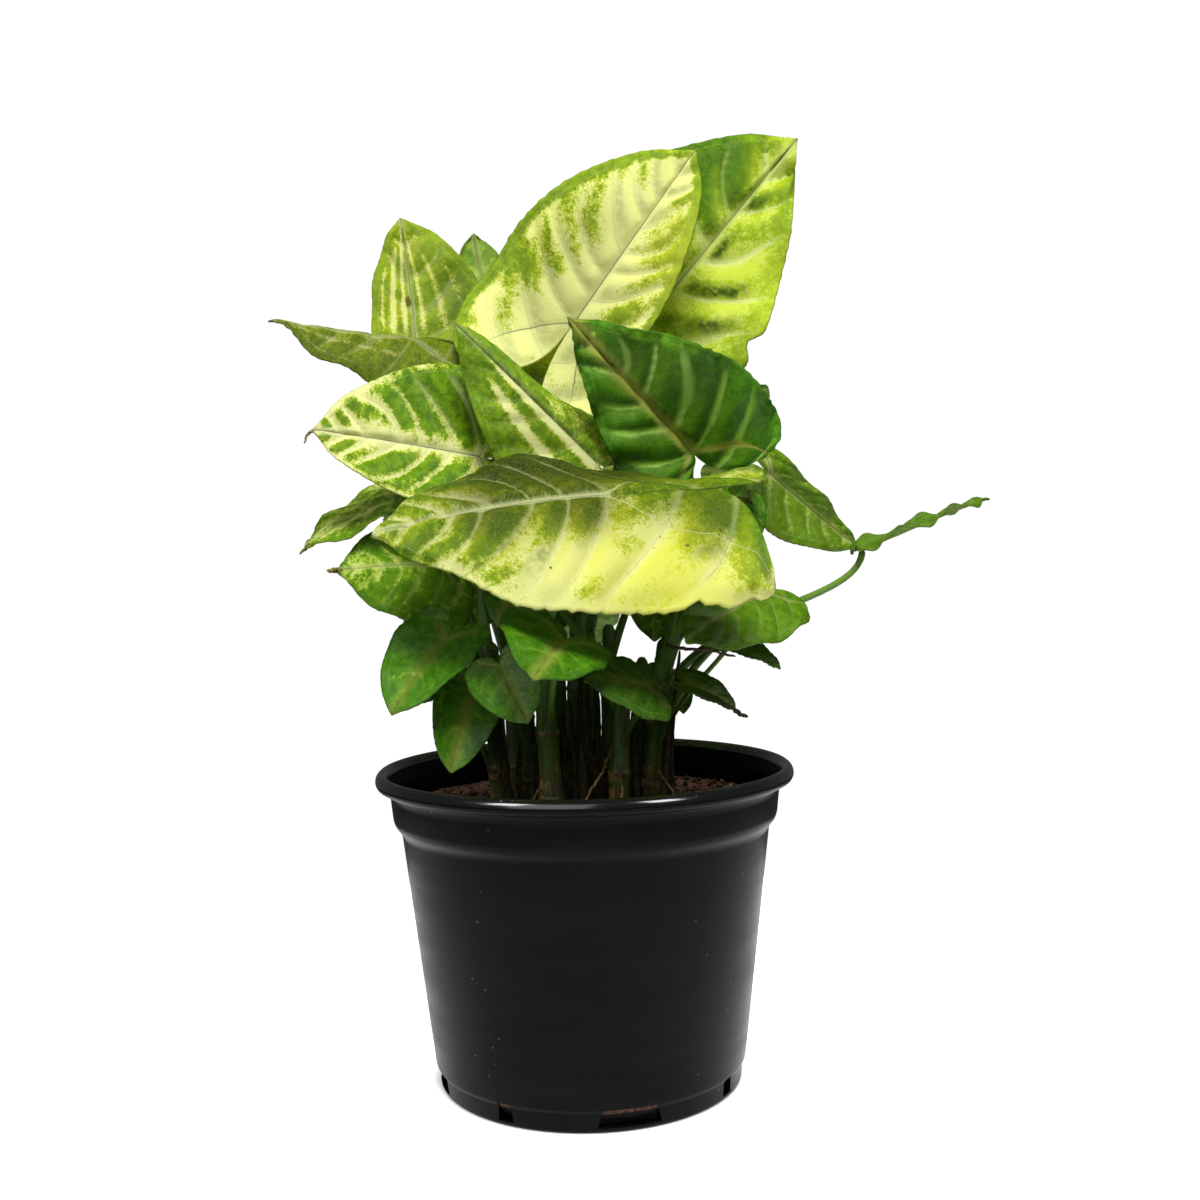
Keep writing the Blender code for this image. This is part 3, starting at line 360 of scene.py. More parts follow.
LOOKS = dict(
    back_right_top=look(11, 0.35, veins=5, cloud=0.4, rib_cream=0.9, rib_width=4, margin_green=0.9,
        margin_width=0.2, vein_cream=0.4, islands=0.6, island_start=0.05, soft=0.5, blotch=1.1,
        tone=(0.1, 0, 0.35), spots=((-0.3, 0.66, 0.26, (-2.6, 0.1, 0.4, -0.6)),
        (-0.3, 0.3, 0.22, (-1.6, 0.1, 0.2, -0.4)), (0.32, 0.45, 0.3, (0.7, 0.05, 0, 0.45)),
        (0.4, -0.15, 0.26, (-1.3, 0, 0, -0.2)), (0, 1, 0.14, (1.5, 0, 0, 0.5))), nicks=((),
        ((0.62, 0.03, 0.12),)), quilt=2.8),
    front_top=look(12, 1.15, veins=7, cloud=1.1, rib_cream=1.2, rib_width=12, margin_green=2.6,
        vein_cream=0.3, islands=1.1, island_start=0.2, soft=0.4, halo=0.15, blotch=0.3, tone=(0, 0, 0.2),
        spots=((0.34, 0.6, 0.24, (-1.8, 0, 0, 0.45)), (-0.1, 0.15, 0.3, (0.3, 0, 0, 0)),
        (-0.22, 0.42, 0.16, (-1.2, 0.1, 0, 0)), (-0.3, -0.2, 0.16, (-1.1, 0, 0, 0)),
        (0.2, 0.2, 0.12, (-1.1, 0.1, 0, 0)), (0.3, 0, 0.16, (-1.0, 0, 0, 0.1)),
        (-0.4, 0.1, 0.14, (-0.8, 0, 0, 0))), quilt=1.3),
    dark_front=look(13, -1.7, veins=5, cloud=0.1, rib_cream=0.1, vein_cream=2.2, soft=0.7, halo=1.2,
        blotch=0.5, tone=(0, 0.25, 0), spots=((-0.2, 0.2, 0.25, (0, 0, 0.2, 0)),
        (0.25, 0.6, 0.25, (0.3, 0, 0, 0.15))), scars=((0.01, 0.66, 1.4),), quilt=1.8, crimp=0.5, crimps=20),
    striped=look(14, -1.05, cloud=0.2, rib_cream=0.2, vein_cream=0.1, soft=0.6, halo=0.15, blotch=0.15,
        tone=(0, 0, 0.05), stripes=((-0.06, 0.07, -0.1, 0.8, 3.0), (-0.42, 0.1, -0.3, 0.76, 3.0),
        (-0.75, 0.05, -0.2, 0.3, 2.0), (0.5, 0.35, -0.2, 0.5, 1.2)), scars=((0.05, 0.4, 1.6),), quilt=0.8),
    front_large=look(15, 0.5, cloud=0.8, margin_green=-0.3, margin_width=0.1, vein_cream=0.5, islands=1.0,
        island_start=0.04, soft=0.5, halo=0.38, blotch=0.7, tone=(0.15, 0.05, 0.05), lobe_vein=-0.2,
        spots=((0.32, 0.42, 0.38, (-1.7, 0.5, 0.8, -0.2)), (0.32, -0.05, 0.32, (-1.5, 0.5, 0.75, -0.1)),
        (0.4, -0.6, 0.3, (-0.9, 0.1, 0, -0.1)), (0.15, 0.62, 0.16, (0.8, 0, 0, 0.1)),
        (-0.46, -0.25, 0.3, (0.7, -0.3, 0, 0.85)), (-0.3, -0.6, 0.16, (-1.5, -0.1, 0, -0.2)),
        (-0.08, 0.5, 0.16, (-0.8, 0.4, 0.25, -0.1)), (-0.1, 0.1, 0.16, (-0.9, 0.5, 0.3, -0.1)),
        (-0.14, -0.4, 0.2, (-1.0, 0.6, 0.3, -0.3)), (-0.2, 0.85, 0.16, (-1.0, 0, 0, 0)),
        (-0.34, 0.42, 0.24, (1.2, -0.1, 0, 0.2)), (-0.42, 0.1, 0.2, (0.9, -0.1, 0, 0.4))),
        scars=((-0.3, -0.28, 1.0), (-0.17, 0.12, 0.9), (-0.35, 0.3, 0.8), (-0.07, 0.75, 0.8),
        (-0.4, 0.02, 0.8), (-0.24, -0.44, 0.9), (-0.42, -0.16, 0.7), (-0.2, 0.34, 0.7)),
        nicks=(((0.8, 0.02, 0.05), (0.88, 0.012, -0.04), (0.93, 0.02, 0.07)), ((0.9, 0.02, 0.1),)),
        ragged=0.014, quilt=2.6),
    left_variegated=look(16, 0.25, cloud=0.3, rib_cream=1.2, rib_width=4.5, margin_green=-0.5,
        margin_width=0.1, vein_cream=0.9, islands=3.2, island_start=0.1, soft=0.2, halo=0.6, blotch=0.1,
        spots=((0, 0.95, 0.3, (1.1, 0, 0, 0.1)), (0.42, 0.15, 0.16, (-2.4, 0, 0.25, 0)),
        (0.36, 0.45, 0.1, (-1.4, 0, 0.1, 0)), (0.28, -0.05, 0.22, (-1.5, 0, 0.25, 0))),
        scars=((0.25, 0.42, 0.7),), quilt=1.4),
    upper_left=look(17, -1.0, veins=4, cloud=0.4, rib_cream=0.3, vein_cream=0.2, soft=0.18, halo=0.25,
        blotch=0.5, tone=(0.12, 0.1, 0.25), stripes=((-0.22, 0.06, 0, 0.95, 3.0), (-0.5, 0.08, 0, 0.85, 3.0),
        (-0.76, 0.05, 0, 0.7, 2.2), (0.14, 0.04, 0, 0.9, 2.2), (0.42, 0.06, 0, 0.8, 2.0),
        (0.7, 0.05, 0, 0.7, 1.6)), spots=((0.35, 0.3, 0.3, (-0.3, 0.2, 0.3, -0.2)),),
        scars=((-0.03, 0.34, 2.6),), quilt=1.4),
    far_left=look(18, -0.7, veins=4, cloud=0.3, vein_cream=0.2, soft=0.7, halo=0.2, blotch=0.2,
        tone=(0.45, 0.5, 0.1), stripes=((-0.4, 0.06, 0, 0.9, 1.2), (0.3, 0.06, 0, 0.9, 1.2),
        (-0.1, 0.05, 0, 0.95, 1.0)), spots=((0, 0.85, 0.2, (0.5, 0.1, 0, -0.1)),), scars=((-0.25, 0.2, 1.3),),
        crimp=0.4, crimps=20),
    behind_small=look(19, -0.4, veins=4, tone=(0.25, 0.1, 0.1)),
    low_left_narrow=look(20, 0.0, veins=5, cloud=0.3, vein_cream=0.5, soft=0.2, halo=0.3,
        tone=(0.1, 0.05, 0.1), stripes=((-0.3, 0.1, 0.2, 0.9, 1.4), (0.4, 0.15, 0.3, 0.9, 1.0)),
        scars=((0, 0.97, 2.0),)),
    low_left_dark=look(21, -0.75, veins=5, cloud=0.3, soft=0.2, halo=0.3, tone=(0.15, 0.1, 0),
        spots=((0, 0.85, 0.35, (0.9, 0, 0, 0)), (-0.3, 0.3, 0.25, (0.2, 0.15, 0.1, 0))),
        scars=((0, 1.0, 2.6),)),
    right_low=look(22, -1.9, veins=5, cloud=0.2, vein_cream=0.2, halo=0.3, tone=(0.1, 0, 0.05),
        stripes=((0.5, 0.02, 0.3, 0.7, 2.4),)),
    right_side=look(23, -2.3, veins=4, cloud=0.1, rib_cream=0, vein_cream=0.1, halo=0.1, tone=(0.35, 0.3, 0),
        spots=((-0.1, 0, 0.12, (1.2, 0, 0, 0)),), quilt=0.4, crimp=0.4, crimps=9),
    right_inner=look(24, -0.75, veins=5, cloud=0.2, halo=0.45, tone=(0.3, 0.1, 0.1)),
    small_left_upper=look(25, -1.2, veins=4, halo=0.2, quilt=0.5, uneven=0.4),
    small_left_behind=small_look(26, 0.55),
    small_left_low=small_look(27, 0.45, quilt=0.2, uneven=0.05),
    small_middle=small_look(28, 0.4, quilt=0.6, uneven=0.4, halo=0.25),
    small_middle_low=small_look(29, 0.45),
    small_dark_right=small_look(30, 0.6, 0.1),
    small_right=small_look(31, 0.6, 0.1, scars=((0, 0.95, 2.0),)),
    small_far_right=small_look(32, 0.4, 0.3, scars=((0, 0.97, 1.5),)),
    behind_low_b=look(33, -0.9, veins=5, halo=0.3, tone=(0.1, 0.3, 0), quilt=0.3, uneven=0.1),
    right_dark=look(34, -1.0, veins=5, halo=0.4, tone=(0.1, 0.2, 0)),
    back_large=look(35, 0.5, cloud=0.3, rib_cream=1.0, margin_green=1.0, vein_cream=0.9, islands=2.2,
        halo=0.7, blotch=0.3, quilt=1.6),
    back_left_large=look(36, 0.1, cloud=0.3, rib_cream=0.9, margin_green=0.8, vein_cream=0.8, islands=1.8,
        soft=0.3, halo=0.6, blotch=0.3, quilt=1.4),
    back_right_large=look(37, 0.2, cloud=0.3, rib_cream=0.9, margin_green=0.8, vein_cream=0.8, islands=1.8,
        soft=0.3, halo=0.6, blotch=0.3, quilt=1.4),
    back_upper=look(38, 0.2, cloud=0.3, rib_cream=0.8, margin_green=1.0, islands=1.4, soft=0.4, halo=0.6,
        blotch=0.4, tone=(0.1, 0, 0.1), quilt=1.4),
    back_left_upper=look(39, -0.1, veins=5, cloud=0.3, islands=1.0, soft=0.3, quilt=1.2),
    back_right_upper=look(40, 0.0, veins=5, cloud=0.3, islands=1.2, soft=0.3, quilt=1.2),
    back_low_left=look(41, -0.6, veins=5, halo=0.4),
    back_low_right=look(42, -0.6, veins=5, halo=0.4),
    back_low_middle=look(43, -0.7, veins=5, halo=0.4),
    back_small_left=small_look(44, 0.45),
    back_small_right=small_look(45, 0.45),
    inner_low_left=look(51, -0.5, veins=5, cloud=0.3, tone=(0.2, 0.3, 0)),
    inner_low_middle=look(52, -0.8, veins=5, halo=0.3, tone=(0.1, 0.4, 0)),
    inner_low_right=look(53, -0.8, veins=5, halo=0.3, tone=(0.1, 0.4, 0)),
    small_right_back=small_look(54, 0.5, 0.1),
    inner_dark=look(46, -1.0, veins=5, halo=0.3, tone=(0.1, 0.4, 0)),
)

# Colours of the three kinds of blade; their shading colour is the painted shade on the lower slopes of the
# swellings. Band is half the width of the pale strip in millimetres.
FAMILIES = dict(
    variegated=dict(deep="4e7e08", mid="80ab14", lime="b9cc2c", cream="f5f7b0", olive="5f6b10",
        yellow="e4e630", blotch="5d7410", halo="d8dc98", rib_halo="dbdfa4", rib="6c7050", border="8f9a30",
        under="a3b66a", glow="f6f23c", band=2.2),
    green=dict(deep="467c0b", mid="6ca016", lime="a8c832", cream="e6ec96", olive="5f6f12", yellow="ccda2e",
        blotch="46620f", halo="b4c86a", rib_halo="bac678", rib="807e44", border="76843a", under="95ac5c",
        glow="eef038", band=2.0),
    dark=dict(deep="3e7a0b", mid="5e9c16", lime="86b036", cream="bcd870", olive="5a6d14", yellow="a0be2c",
        blotch="24520a", halo="a8d850", rib_halo="b2b450", rib="8a8a38", border="456a1e", under="7f9e50",
        glow="e2f03c", band=4.6),
)

# Dark and light tint of dry plant matter, and of soil with its roughness
DRY_TINTS = dict(
    root_tan=("4a3820", "8c7246"), old_stalk=("1c1c0e", "45421f"), withered_dark=("2a211b", "5a4838"),
    tip_tan=("55501f", "8f8a4c"),
)
# The nearly black soil tint is painted shade on the soil low in the pot, which shows through the drain slots.
SOIL_TINTS = dict(
    soil_brown=("2c2018", "66493a", 0.95), soil_deep=("060504", "120d0a", 0.95),
    crumb_dark=("241a14", "6a4e40", 0.95), bark_red=("40261a", "80523a", 0.85),
    grit_pale=("b8b2a4", "e4e0d4", 0.8),
)


def smooth(t):
    """A soft step from 0 to 1."""
    t = np.clip(t, 0.0, 1.0)
    return t * t * (3 - 2 * t)


def bell(t):
    """A smooth hump that is 1 at zero."""
    return np.exp(-(t ** 2))


def unit(v):
    """The vector with length one."""
    v = np.asarray(v, float)
    return v / np.linalg.norm(v)


def linear(code):
    """A linear colour from a six-digit hexadecimal one."""
    values = [int(code[k:k + 2], 16) / 255 for k in (0, 2, 4)]
    return tuple(v / 12.92 if v <= 0.04045 else ((v + 0.055) / 1.055) ** 2.4 for v in values)


def lattice_noise(x, y, cell, seed):
    """Smooth noise from -1 to 1 over a plane, with one random value at each corner of a square lattice."""
    table = np.random.default_rng(seed).uniform(-1, 1, (NOISE_CELLS, NOISE_CELLS))
    gx, gy = np.asarray(x) / cell, np.asarray(y) / cell
    ix, iy = np.floor(gx).astype(int), np.floor(gy).astype(int)
    fx, fy = smooth(gx - ix), smooth(gy - iy)

    def row(iy):
        left, right = ix % NOISE_CELLS, (ix + 1) % NOISE_CELLS
        return table[left, iy % NOISE_CELLS] * (1 - fx) + table[right, iy % NOISE_CELLS] * fx

    return row(iy) * (1 - fy) + row(iy + 1) * fy


# Blades


def half_of(blade, side):
    """The values of one half of a blade."""
    pairs = ("width", "lobe", "spread", "taper", "square")
    return dict(blade, **{k: blade[k][side] for k in pairs if isinstance(blade[k], tuple)})


def outline(half):
    """Margin of a half blade from the tip round to the end of its basal lobe, and its arc length."""
    s = np.linspace(0, 1, FRONT_STEPS + 1)
    width, lobe, spread = half["width"], half["lobe"], half["spread"]
    pinch = 1 - TIP_PINCH * bell(s / TIP_PINCH_LENGTH)
    front = np.stack([width * np.sin(np.pi / 2 * s ** half["taper"]) * pinch, 1 - s], 1)
    a = np.linspace(0, np.pi / 2, LOBE_STEPS + 1)[1:]
    back = np.stack([spread + (width - spread) * np.cos(a) ** 0.9, -lobe * np.sin(a)], 1)
    line = np.concatenate([front, back])
    line[:, 0] *= 1 - WAIST * bell((line[:, 1] + 0.02) / 0.15)
    length = np.concatenate([[0], np.cumsum(np.linalg.norm(np.diff(line, axis=0), axis=1))])
    return line, length / length[-1]


def flat_half(half, look, side, front_rows, lobe_rows, columns):
    """Grid of a half blade laid flat. Its way is 0 at the tip, 1 at the junction and 2 at the lobe's end."""
    line, station = outline(half)
    way = np.concatenate([np.linspace(0, 1, front_rows + 1), np.linspace(1, 2, lobe_rows + 1)[1:]])
    v = np.linspace(0, 1, columns + 1) ** RIB_CROWDING
    front = way <= 1
    t = np.where(front, way, way - 1)
    u = np.where(front, FRONT_SHARE * t, FRONT_SHARE + (1 - FRONT_SHARE) * t)
    rib = np.stack([0 * t, 1 - t], 1)
    turn = np.pi / 2 * t
    notch = np.stack([half["spread"] * (1 - np.cos(turn)) ** half["square"], -half["lobe"] * np.sin(turn)], 1)
    spine = np.where(front[:, None], rib, notch)
    side_vein = np.interp(-SIDE_VEIN_AT, -line[:FRONT_STEPS + 1, 1], station[:FRONT_STEPS + 1])
    m = np.where(front, side_vein * t, side_vein + (1 - side_vein) * t)
    edge = np.stack([np.interp(m, station, line[:, 0]), np.interp(m, station, line[:, 1])], 1)
    span = edge - spine
    for place, reach, depth in look["nicks"][side]:
        span *= (1 - depth * bell((m - place) / reach))[:, None]
    turns = 2 * np.pi * m
    wobble = 0.6 * np.sin(23 * turns + look["seed"] + side) + 0.4 * np.sin(37 * turns + 3 * look["seed"])
    span *= (1 + look["ragged"] * wobble * smooth(m / 0.1))[:, None]
    size = np.linalg.norm(span, axis=1)
    bow = -VEIN_BOW * size * np.sin(np.pi * u) ** 0.5
    flat = spine[:, None] + v[None, :, None] * span[:, None]
    flat[..., 1] += bow[:, None] * (v * (1 - v))[None]
    across, margin_way = np.meshgrid(v, m)
    return dict(
        across=flat[..., 0], along=flat[..., 1], v=across, m=margin_way,
        way=np.broadcast_to(way[:, None], across.shape), size=np.broadcast_to(size[:, None], across.shape),
    )


def bent_half(blade, side, grid):
    """Grid points of a half blade, folded, curled, drooped and waved, for a midrib of length one."""
    half = half_of(blade, side)
    across, along, v, m = grid["across"], grid["along"], grid["v"], grid["m"]
    width, lobe, start = half["width"], half["lobe"], blade["lobe_start"]
    fold = math.radians(blade["fold"][side])
    lobe_fold = fold if blade["lobe_fold"] is None else math.radians(blade["lobe_fold"][side])
    curl = math.radians(blade["curl"][side])
    base = fold + (lobe_fold - fold) * smooth((start - along) / (start + 0.55 * lobe))
    k = (np.arange(BEND_STEPS) + 0.5) / BEND_STEPS
    part = across[..., None] * k
    angle = base[..., None] * (1 - np.exp(-part / 0.03)) + curl * part / width
    out = across * np.cos(angle).mean(-1)
    rise = across * np.sin(angle).mean(-1)
    ripple = np.sin(2 * np.pi * (blade["waves"] * m + blade["phase"] + 0.37 * side))
    rise = rise + blade["wave"] * v ** 2 * ripple * smooth(m / 0.12)
    droop, pitch = math.radians(blade["droop"]), math.radians(blade["lobe_pitch"][side])

    def lean(y):
        return np.where(y > 0, -droop * y, -pitch * smooth(-y / (0.7 * lobe)))

    path = lean(along[..., None] * k)
    end = lean(along)
    sign = 1 if side else -1
    y = along * np.cos(path).mean(-1) - rise * np.sin(end)
    z = along * np.sin(path).mean(-1) + rise * np.cos(end)
    return np.stack([sign * out, y, z], -1)


def midrib_chord(blade):
    """The straight reach of a drooping midrib of length one, and the direction of that reach."""
    k = (np.arange(MIDRIB_STEPS) + 0.5) / MIDRIB_STEPS
    lean = -math.radians(blade["droop"]) * k
    y, z = np.cos(lean).mean(), np.sin(lean).mean()
    reach = math.hypot(y, z)
    return reach, y / reach, z / reach


def midrib_length(blade):
    """Length of the midrib in millimetres."""
    apart = np.array(blade["tip"], float) - np.array(blade["junction"], float)
    return np.linalg.norm(apart) / midrib_chord(blade)[0]


def place_points(blade, points):
    """Points of a blade with a midrib of length one, put between its junction and its tip."""
    _, c, s = midrib_chord(blade)
    start, tip = np.array(blade["junction"], float), np.array(blade["tip"], float)
    toward = unit(tip - start)
    face = unit(blade["face"])
    face = unit(face - toward * (face @ toward))
    right = np.cross(toward, face)
    x, y, z = points[..., 0:1], points[..., 1:2], points[..., 2:3]
    y, z = y * c + z * s, -y * s + z * c
    return start + midrib_length(blade) * (x * right + y * toward + z * face)


def vein_lines(look, side, grid, length):
    """How far the grid points lie from midrib, side veins and margin, in millimetres."""
    v, way, count = grid["v"], grid["way"], look["veins"]
    span = grid["size"] * length
    lobe_way = np.clip(way - 1, 0, 1)
    rib_at = 0.5 * (1 - np.exp(-lobe_way / 0.22))
    sweep = VEIN_SWEEP * smooth(way / 0.35) * (1 - smooth(lobe_way)) * v ** 1.3
    front_way = np.minimum(way, 1)
    turns = 2 * np.pi * front_way
    front_way = front_way + 0.03 * np.sin(2.3 * turns + 1.7 * look["seed"] + 2.1 * side) * np.sin(0.5 * turns)
    branch = front_way * count + lobe_way * count * 0.5 + sweep * count
    spacing = length / count
    return dict(
        length=length, span=span, lobe_way=lobe_way, rib=(v - rib_at) * span, edge=(1 - v) * span,
        branch=branch, spacing=spacing, to_vein=np.abs(branch - np.round(branch)) * spacing,
        fade=smooth((1 - v) / 0.3) * smooth(way / 0.12),
    )


def skin_tones(look, side, grid, lines, x, y, cloud):
    """Paleness, tones (olive, dark, yellow) and painted shade of the skin. The lower slope of each swelling
    between side veins gets painted shade, and its upper slope painted light, which adds paleness and yellow.
    """
    v, seed, start = grid["v"], look["seed"], look["island_start"]
    branch, span, lobe_way = lines["branch"], lines["span"], lines["lobe_way"]
    sign = 1 if side else -1
    broken = lattice_noise(branch * 11 + 80, v * span + 20, 6, seed + 5)
    between = np.sin(np.pi * branch) ** 2 * np.clip(0.7 + 1.1 * broken, 0, 1.5)
    gains = np.random.default_rng(seed + side).uniform(0.45, 1.2, NOISE_CELLS)
    gain = gains[np.floor(branch).astype(int) % NOISE_CELLS]
    pale = look["pale"] + look["cloud"] * cloud
    pale = pale + look["rib_cream"] * bell(lines["rib"] / look["rib_width"]) * (1 - 0.6 * lobe_way)
    pale = pale - look["islands"] * gain * between * smooth((v - start) / 0.22) * smooth((0.97 - v) / 0.12)
    band = look["margin_width"] * grid["size"].max() * lines["length"]
    pale = pale - look["margin_green"] * smooth((band - lines["edge"]) / (0.6 * band))
    for place, reach, first, last, more in look["stripes"]:
        share = bell((sign * v - place) / reach)
        pale = pale + more * share * smooth((y - first) / 0.15) * smooth((last - y) / 0.15)
    tone = np.stack([np.full(v.shape, float(value)) for value in look["tone"]], -1)
    for spot_x, spot_y, reach, more in look["spots"]:
        weight = np.exp(-(((x - spot_x) ** 2 + (y - spot_y) ** 2) / reach ** 2))
        pale = pale + more[0] * weight
        tone = tone + np.array(more[1:]) * weight[..., None]
    # Painted shading of the swellings: painted shade on each lower slope, broken up by noise, and painted
    # light on each upper slope.
    shade_breakup = lattice_noise(branch * 9 + 40, v * span + 70, 8, seed + 3)
    slope = np.sin(2 * np.pi * branch)
    seen = smooth((v - 0.03) / 0.12) * smooth((0.85 - v) / 0.3)
    blotch = look["blotch"] * smooth((shade_breakup + 0.5) / 0.9) * np.clip(-slope, 0, 1) ** 0.8 * seen
    lit = look["blotch"] * np.clip(slope, 0, 1) * seen
    tone[..., 2] += 0.35 * lit
    return pale + 0.5 * lit, tone, blotch


def skin_scars(look, x, y, length):
    """Strength of the scars, from 0 to 1."""
    scar = np.zeros(x.shape)
    for spot_x, spot_y, reach in look["scars"]:
        apart = np.hypot(1.8 * (x - spot_x), y - spot_y) * length
        scar = np.maximum(scar, smooth(1.4 - apart / reach))
    return scar


def skin_relief(look, grid, lines, x, y, cloud, fading):
    """Height of the swellings on both sides of the blade, and of the ridges that the veins raise below it."""
    v, way, m, seed, length = grid["v"], grid["way"], grid["m"], look["seed"], lines["length"]
    rib, lobe_way = lines["rib"], lines["lobe_way"]
    swell = np.abs(np.sin(np.pi * lines["branch"])) ** 0.8 * smooth(v / 0.12) * smooth((1 - v) / 0.2)
    uneven = lattice_noise(x * length + 90, y * length + 150, 24, seed + 7)
    crimp = look["crimp"] * smooth((v - 0.8) / 0.2) * np.sin(2 * np.pi * m * look["crimps"] + seed)
    relief = look["quilt"] * swell * (0.75 + 0.45 * cloud) + look["uneven"] * uneven + crimp
    relief = relief - GROOVE_DEPTH * bell(rib / GROOVE_WIDTH) * (1 - lobe_way)
    stout = 1 - 0.85 * smooth(np.abs(way - 1))
    ridge = RIDGE_HEIGHT * bell(rib / RIDGE_WIDTH) * stout * smooth(way / 0.1)
    ridge = ridge * (1 - fading)
    ridge = ridge + VEIN_HEIGHT * bell(lines["to_vein"] / VEIN_WIDTH) * lines["fade"]
    return relief, ridge * min(1.0, length / 60)


def skin_fields(blade, look, side, grid):
    """What the skin's nodes read at each grid point, and the heights of its swellings and ridges."""
    length = midrib_length(blade)
    v, seed = grid["v"], look["seed"]
    lines = vein_lines(look, side, grid, length)
    x, y = grid["across"] if side else -grid["across"], grid["along"]
    cloud = lattice_noise(x * length + 300, y * length + 300, 17, seed)
    pale, tone, blotch = skin_tones(look, side, grid, lines, x, y, cloud)
    lobe_way, spacing = lines["lobe_way"], lines["spacing"]
    fading = smooth(lobe_way / 0.06) * smooth((lobe_way - look["lobe_vein"]) / 0.45)
    relief, ridge = skin_relief(look, grid, lines, x, y, cloud, fading)
    strength = look["vein_cream"] * lines["fade"] * (1.2 - 0.5 * v)
    even = np.ones(v.shape)
    cells = dict(
        flat=(x * length, y * length, even * seed * 3.7),
        veins=(lines["branch"] * spacing, v * lines["span"], even * spacing),
        fields=(pale, strength, even * look["soft"]),
        lines=(lines["rib"] * (1 + 7 * fading), lines["branch"], lines["edge"]),
        tone=np.moveaxis(tone, -1, 0),
        marks=(even * look["halo"], blotch, skin_scars(look, x, y, length)),
    )
    return {name: np.stack(parts, -1) for name, parts in cells.items()}, relief, ridge


def grid_numbers(front_rows, lobe_rows, columns):
    """Point numbers of both half grids. They share tip and midrib, and each lobe ends in one point."""
    rows = front_rows + lobe_rows
    ids = np.zeros((2, rows + 1, columns + 1), int)
    ids[:, 1:front_rows + 1, 0] = np.arange(1, front_rows + 1)
    count = front_rows + 1
    for side in (0, 1):
        body = np.arange(count, count + (rows - 1) * columns).reshape(rows - 1, columns)
        ids[side, 1:rows, 1:] = body
        count += body.size
        sinus = np.arange(count, count + lobe_rows - 1)
        ids[side, front_rows + 1:rows, 0] = sinus
        count += sinus.size
        ids[side, rows, :] = count
        count += 1
    return ids, count


def grid_triangles(ids):
    """Triangles of the two half grids, all facing the upper side."""
    found = []
    for side in (0, 1):
        a, b = ids[side, :-1, :-1], ids[side, :-1, 1:]
        c, d = ids[side, 1:, 1:], ids[side, 1:, :-1]
        both = np.concatenate([np.stack(corners, -1).reshape(-1, 3) for corners in ([a, b, c], [a, c, d])])
        flat = (both[:, 0] == both[:, 1]) | (both[:, 1] == both[:, 2]) | (both[:, 0] == both[:, 2])
        both = both[~flat]
        found.append(both if side == 0 else both[:, ::-1])
    return np.concatenate(found)


def point_normals(points, faces):
    """The mean normal of the triangles round each point."""
    corners = points[faces]
    across = np.cross(corners[:, 1] - corners[:, 0], corners[:, 2] - corners[:, 0])
    normals = np.zeros_like(points)
    for k in range(3):
        np.add.at(normals, faces[:, k], across)
    return normals / np.maximum(np.linalg.norm(normals, axis=1), 1e-12)[:, None]


def open_edges(faces, count):
    """Directed edges of the sheet that no neighbour shares."""
    edges = np.concatenate([faces[:, [0, 1]], faces[:, [1, 2]], faces[:, [2, 0]]])
    code = edges[:, 0] * count + edges[:, 1]
    back = edges[:, 1] * count + edges[:, 0]
    return edges[~np.isin(code, back)]


def fine_size(length):
    """Rows for each side vein and columns of a fine blade, by its length in millimetres."""
    if length > 55:
        return 9, 32
    if length > 38:
        return 8, 24
    return 7, 16


def fine_blade(blade, look):
    """Points, triangles, skin fields and number of upper triangles of a blade with relief."""
    per_vein, columns = fine_size(midrib_length(blade))
    front_rows, lobe_rows = per_vein * look["veins"], per_vein * look["veins"] // 2
    ids, count = grid_numbers(front_rows, lobe_rows, columns)
    points = np.zeros((count, 3))
    relief, ridge = np.zeros(count), np.zeros(count)
    cells = {name: np.zeros((count, 3)) for name in SKIN_FIELDS}
    for side in (0, 1):
        grid = flat_half(half_of(blade, side), look, side, front_rows, lobe_rows, columns)
        half_cells, half_relief, half_ridge = skin_fields(blade, look, side, grid)
        points[ids[side]] = place_points(blade, bent_half(blade, side, grid))
        relief[ids[side]], ridge[ids[side]] = half_relief, half_ridge
        for name in SKIN_FIELDS:
            cells[name][ids[side]] = half_cells[name]
    faces = grid_triangles(ids)
    points = points + point_normals(points, faces) * relief[:, None]
    normals = point_normals(points, faces)
    upper = points + normals * BLADE / 2
    lower = points - normals * (BLADE / 2 + ridge)[:, None]
    rim = open_edges(faces, count)
    walls = np.concatenate([
        np.stack([rim[:, 1], rim[:, 0], rim[:, 0] + count], -1),
        np.stack([rim[:, 1], rim[:, 0] + count, rim[:, 1] + count], -1),
    ])
    body = np.concatenate([upper, lower])
    skins = {name: np.concatenate([cells[name], cells[name]]) for name in SKIN_FIELDS}
    return body, np.concatenate([faces, walls, faces[:, ::-1] + count]), skins, len(faces) + len(walls)


def junction_frame(blade, look):
    """The point where the stalk meets the blade, the upper side's normal there and the midrib's direction."""
    ends = []
    for side in (0, 1):
        grid = flat_half(half_of(blade, side), look, side, JOINT_ROWS, 4, 4)
        ends.append(place_points(blade, bent_half(blade, side, grid)))
    left, right = ends
    point = right[JOINT_ROWS, 0]
    forward = unit(right[JOINT_ROWS - 1, 0] - point)
    across = unit(right[JOINT_ROWS - 1, 2] - left[JOINT_ROWS - 1, 2])
    return point, unit(np.cross(across, forward)), forward


# Tubes, canes and stalks


def ring_faces(rings, sides):
    """Quads between rings of points, all looking outwards when the rings run upwards."""
    ring = np.arange(sides)
    faces = []
    for i in range(rings - 1):
        a, b = i * sides + ring, i * sides + (ring + 1) % sides
        faces += np.stack([a, b, b + sides, a + sides], -1).tolist()
    return faces


